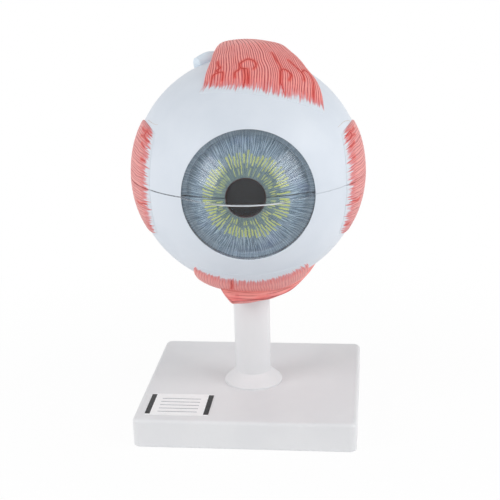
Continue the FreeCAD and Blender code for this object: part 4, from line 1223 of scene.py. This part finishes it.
studio = {
    "floorSize": 6.0, "shadowFrom": 0.06, "shadowTo": 0.30, "nearWhite": 0.95, "ambient": 0.56, "zenith": 0.42,
    "softboxes": [
        {"name": "leftSoftbox", "at": (-0.77, -0.52, 0.54), "size": (0.56, 0.62), "power": 3.9},
        {"name": "rightSoftbox", "at": (0.88, -0.28, 0.54), "size": (0.78, 0.66), "power": 4.8},
    ],
    "aim": (0, 0, 0.13), "lens": 83.76, "sensor": 36.0, "distance": 0.63383, "azimuth": 0.112, "elevation": 0.309,
    "roll": -0.026, "target": (-0.0002, 0.0, 0.09212),
}
plainWhite = {"Color": (1, 1, 1, 1), "Strength": 1.0}


def raysThatSeeWhite(tree):
    # the camera's own rays, mirrored and refracted ones too, but none that light the object
    path = put("LightPath", {}, tree)
    seen = maths("MAXIMUM", path["Is Camera Ray"], path["Is Glossy Ray"])
    return maths("MAXIMUM", seen, path["Is Transmission Ray"]) * (path["Diffuse Depth"] < 0.5)


def makeWorld():
    world = bpy.data.worlds.new("studioWorld")
    bpy.context.scene.world = world
    world.use_nodes = True
    tree = world.node_tree
    ambient = tree.nodes["Background"]
    ambient.inputs["Color"].default_value = plainWhite["Color"]
    height = split(put("TexCoord", {}, tree)["Generated"])[2]
    feed(ambient, Strength=between(height, 0.1, 1.0, studio["ambient"], studio["zenith"]))
    overSurface(tree.nodes["World Output"], raysThatSeeWhite(tree), ambient, put("Background", plainWhite, tree))


def makeFloor():
    # a pale floor that keeps the shadow near the object and is white farther off
    size = studio["floorSize"]
    mesh = bpy.data.meshes.new("studioFloor")
    mesh.from_pydata([(-size, -size, 0), (size, -size, 0), (size, size, 0), (-size, size, 0)], [], [(0, 1, 2, 3)])
    floor = link("studioFloor", mesh)
    made, tree, shader = newMaterial("floorPaper", Base_Color=(0.95, 0.95, 0.95, 1), Roughness=0.9,
                                     Specular_IOR_Level=0.0)
    reach = put("VectorMath", {0: put("TexCoord", {}, tree)["Object"]}, operation="LENGTH")["Value"]
    far = between(reach, studio["shadowFrom"], studio["shadowTo"], studio["nearWhite"], 1.0)
    overSurface(tree.nodes["Material Output"], far * raysThatSeeWhite(tree), shader,
                put("Emission", plainWhite, tree))
    dress(floor, made)


def makeLamps():
    for box in studio["softboxes"]:
        light = bpy.data.lights.new(box["name"], "AREA")
        light.shape, light.energy = "RECTANGLE", box["power"]
        light.size, light.size_y = box["size"]
        lamp = link(box["name"], light)
        lamp.location = box["at"]
        lamp.rotation_euler = (Vector(studio["aim"]) - lamp.location).to_track_quat("-Z", "Y").to_euler()


def makeCamera():
    # it looks at target from distance, turned by azimuth, elevation and roll
    s = studio
    back = Vector((math.sin(s["azimuth"]) * math.cos(s["elevation"]),
                   -math.cos(s["azimuth"]) * math.cos(s["elevation"]), math.sin(s["elevation"])))
    right = (-back).cross(Vector((0, 0, 1))).normalized()
    up = right.cross(-back)
    c, r = math.cos(s["roll"]), math.sin(s["roll"])
    across, above = right * c + up * r, -right * r + up * c
    place = Vector(s["target"]) + back * s["distance"]
    camera = link("studioCamera", bpy.data.cameras.new("studioCamera"))
    camera.data.lens, camera.data.sensor_width = s["lens"], s["sensor"]
    camera.data.clip_start, camera.data.clip_end = 0.01, 20.0
    camera.matrix_world = Matrix((*zip(across, above, back, place), (0, 0, 0, 1)))
    bpy.context.scene.camera = camera


makeWorld()
makeFloor()
makeLamps()
makeCamera()
bpy.context.scene.view_settings.view_transform = "Standard"
print("studio made")

bpy.context.view_layer.update()
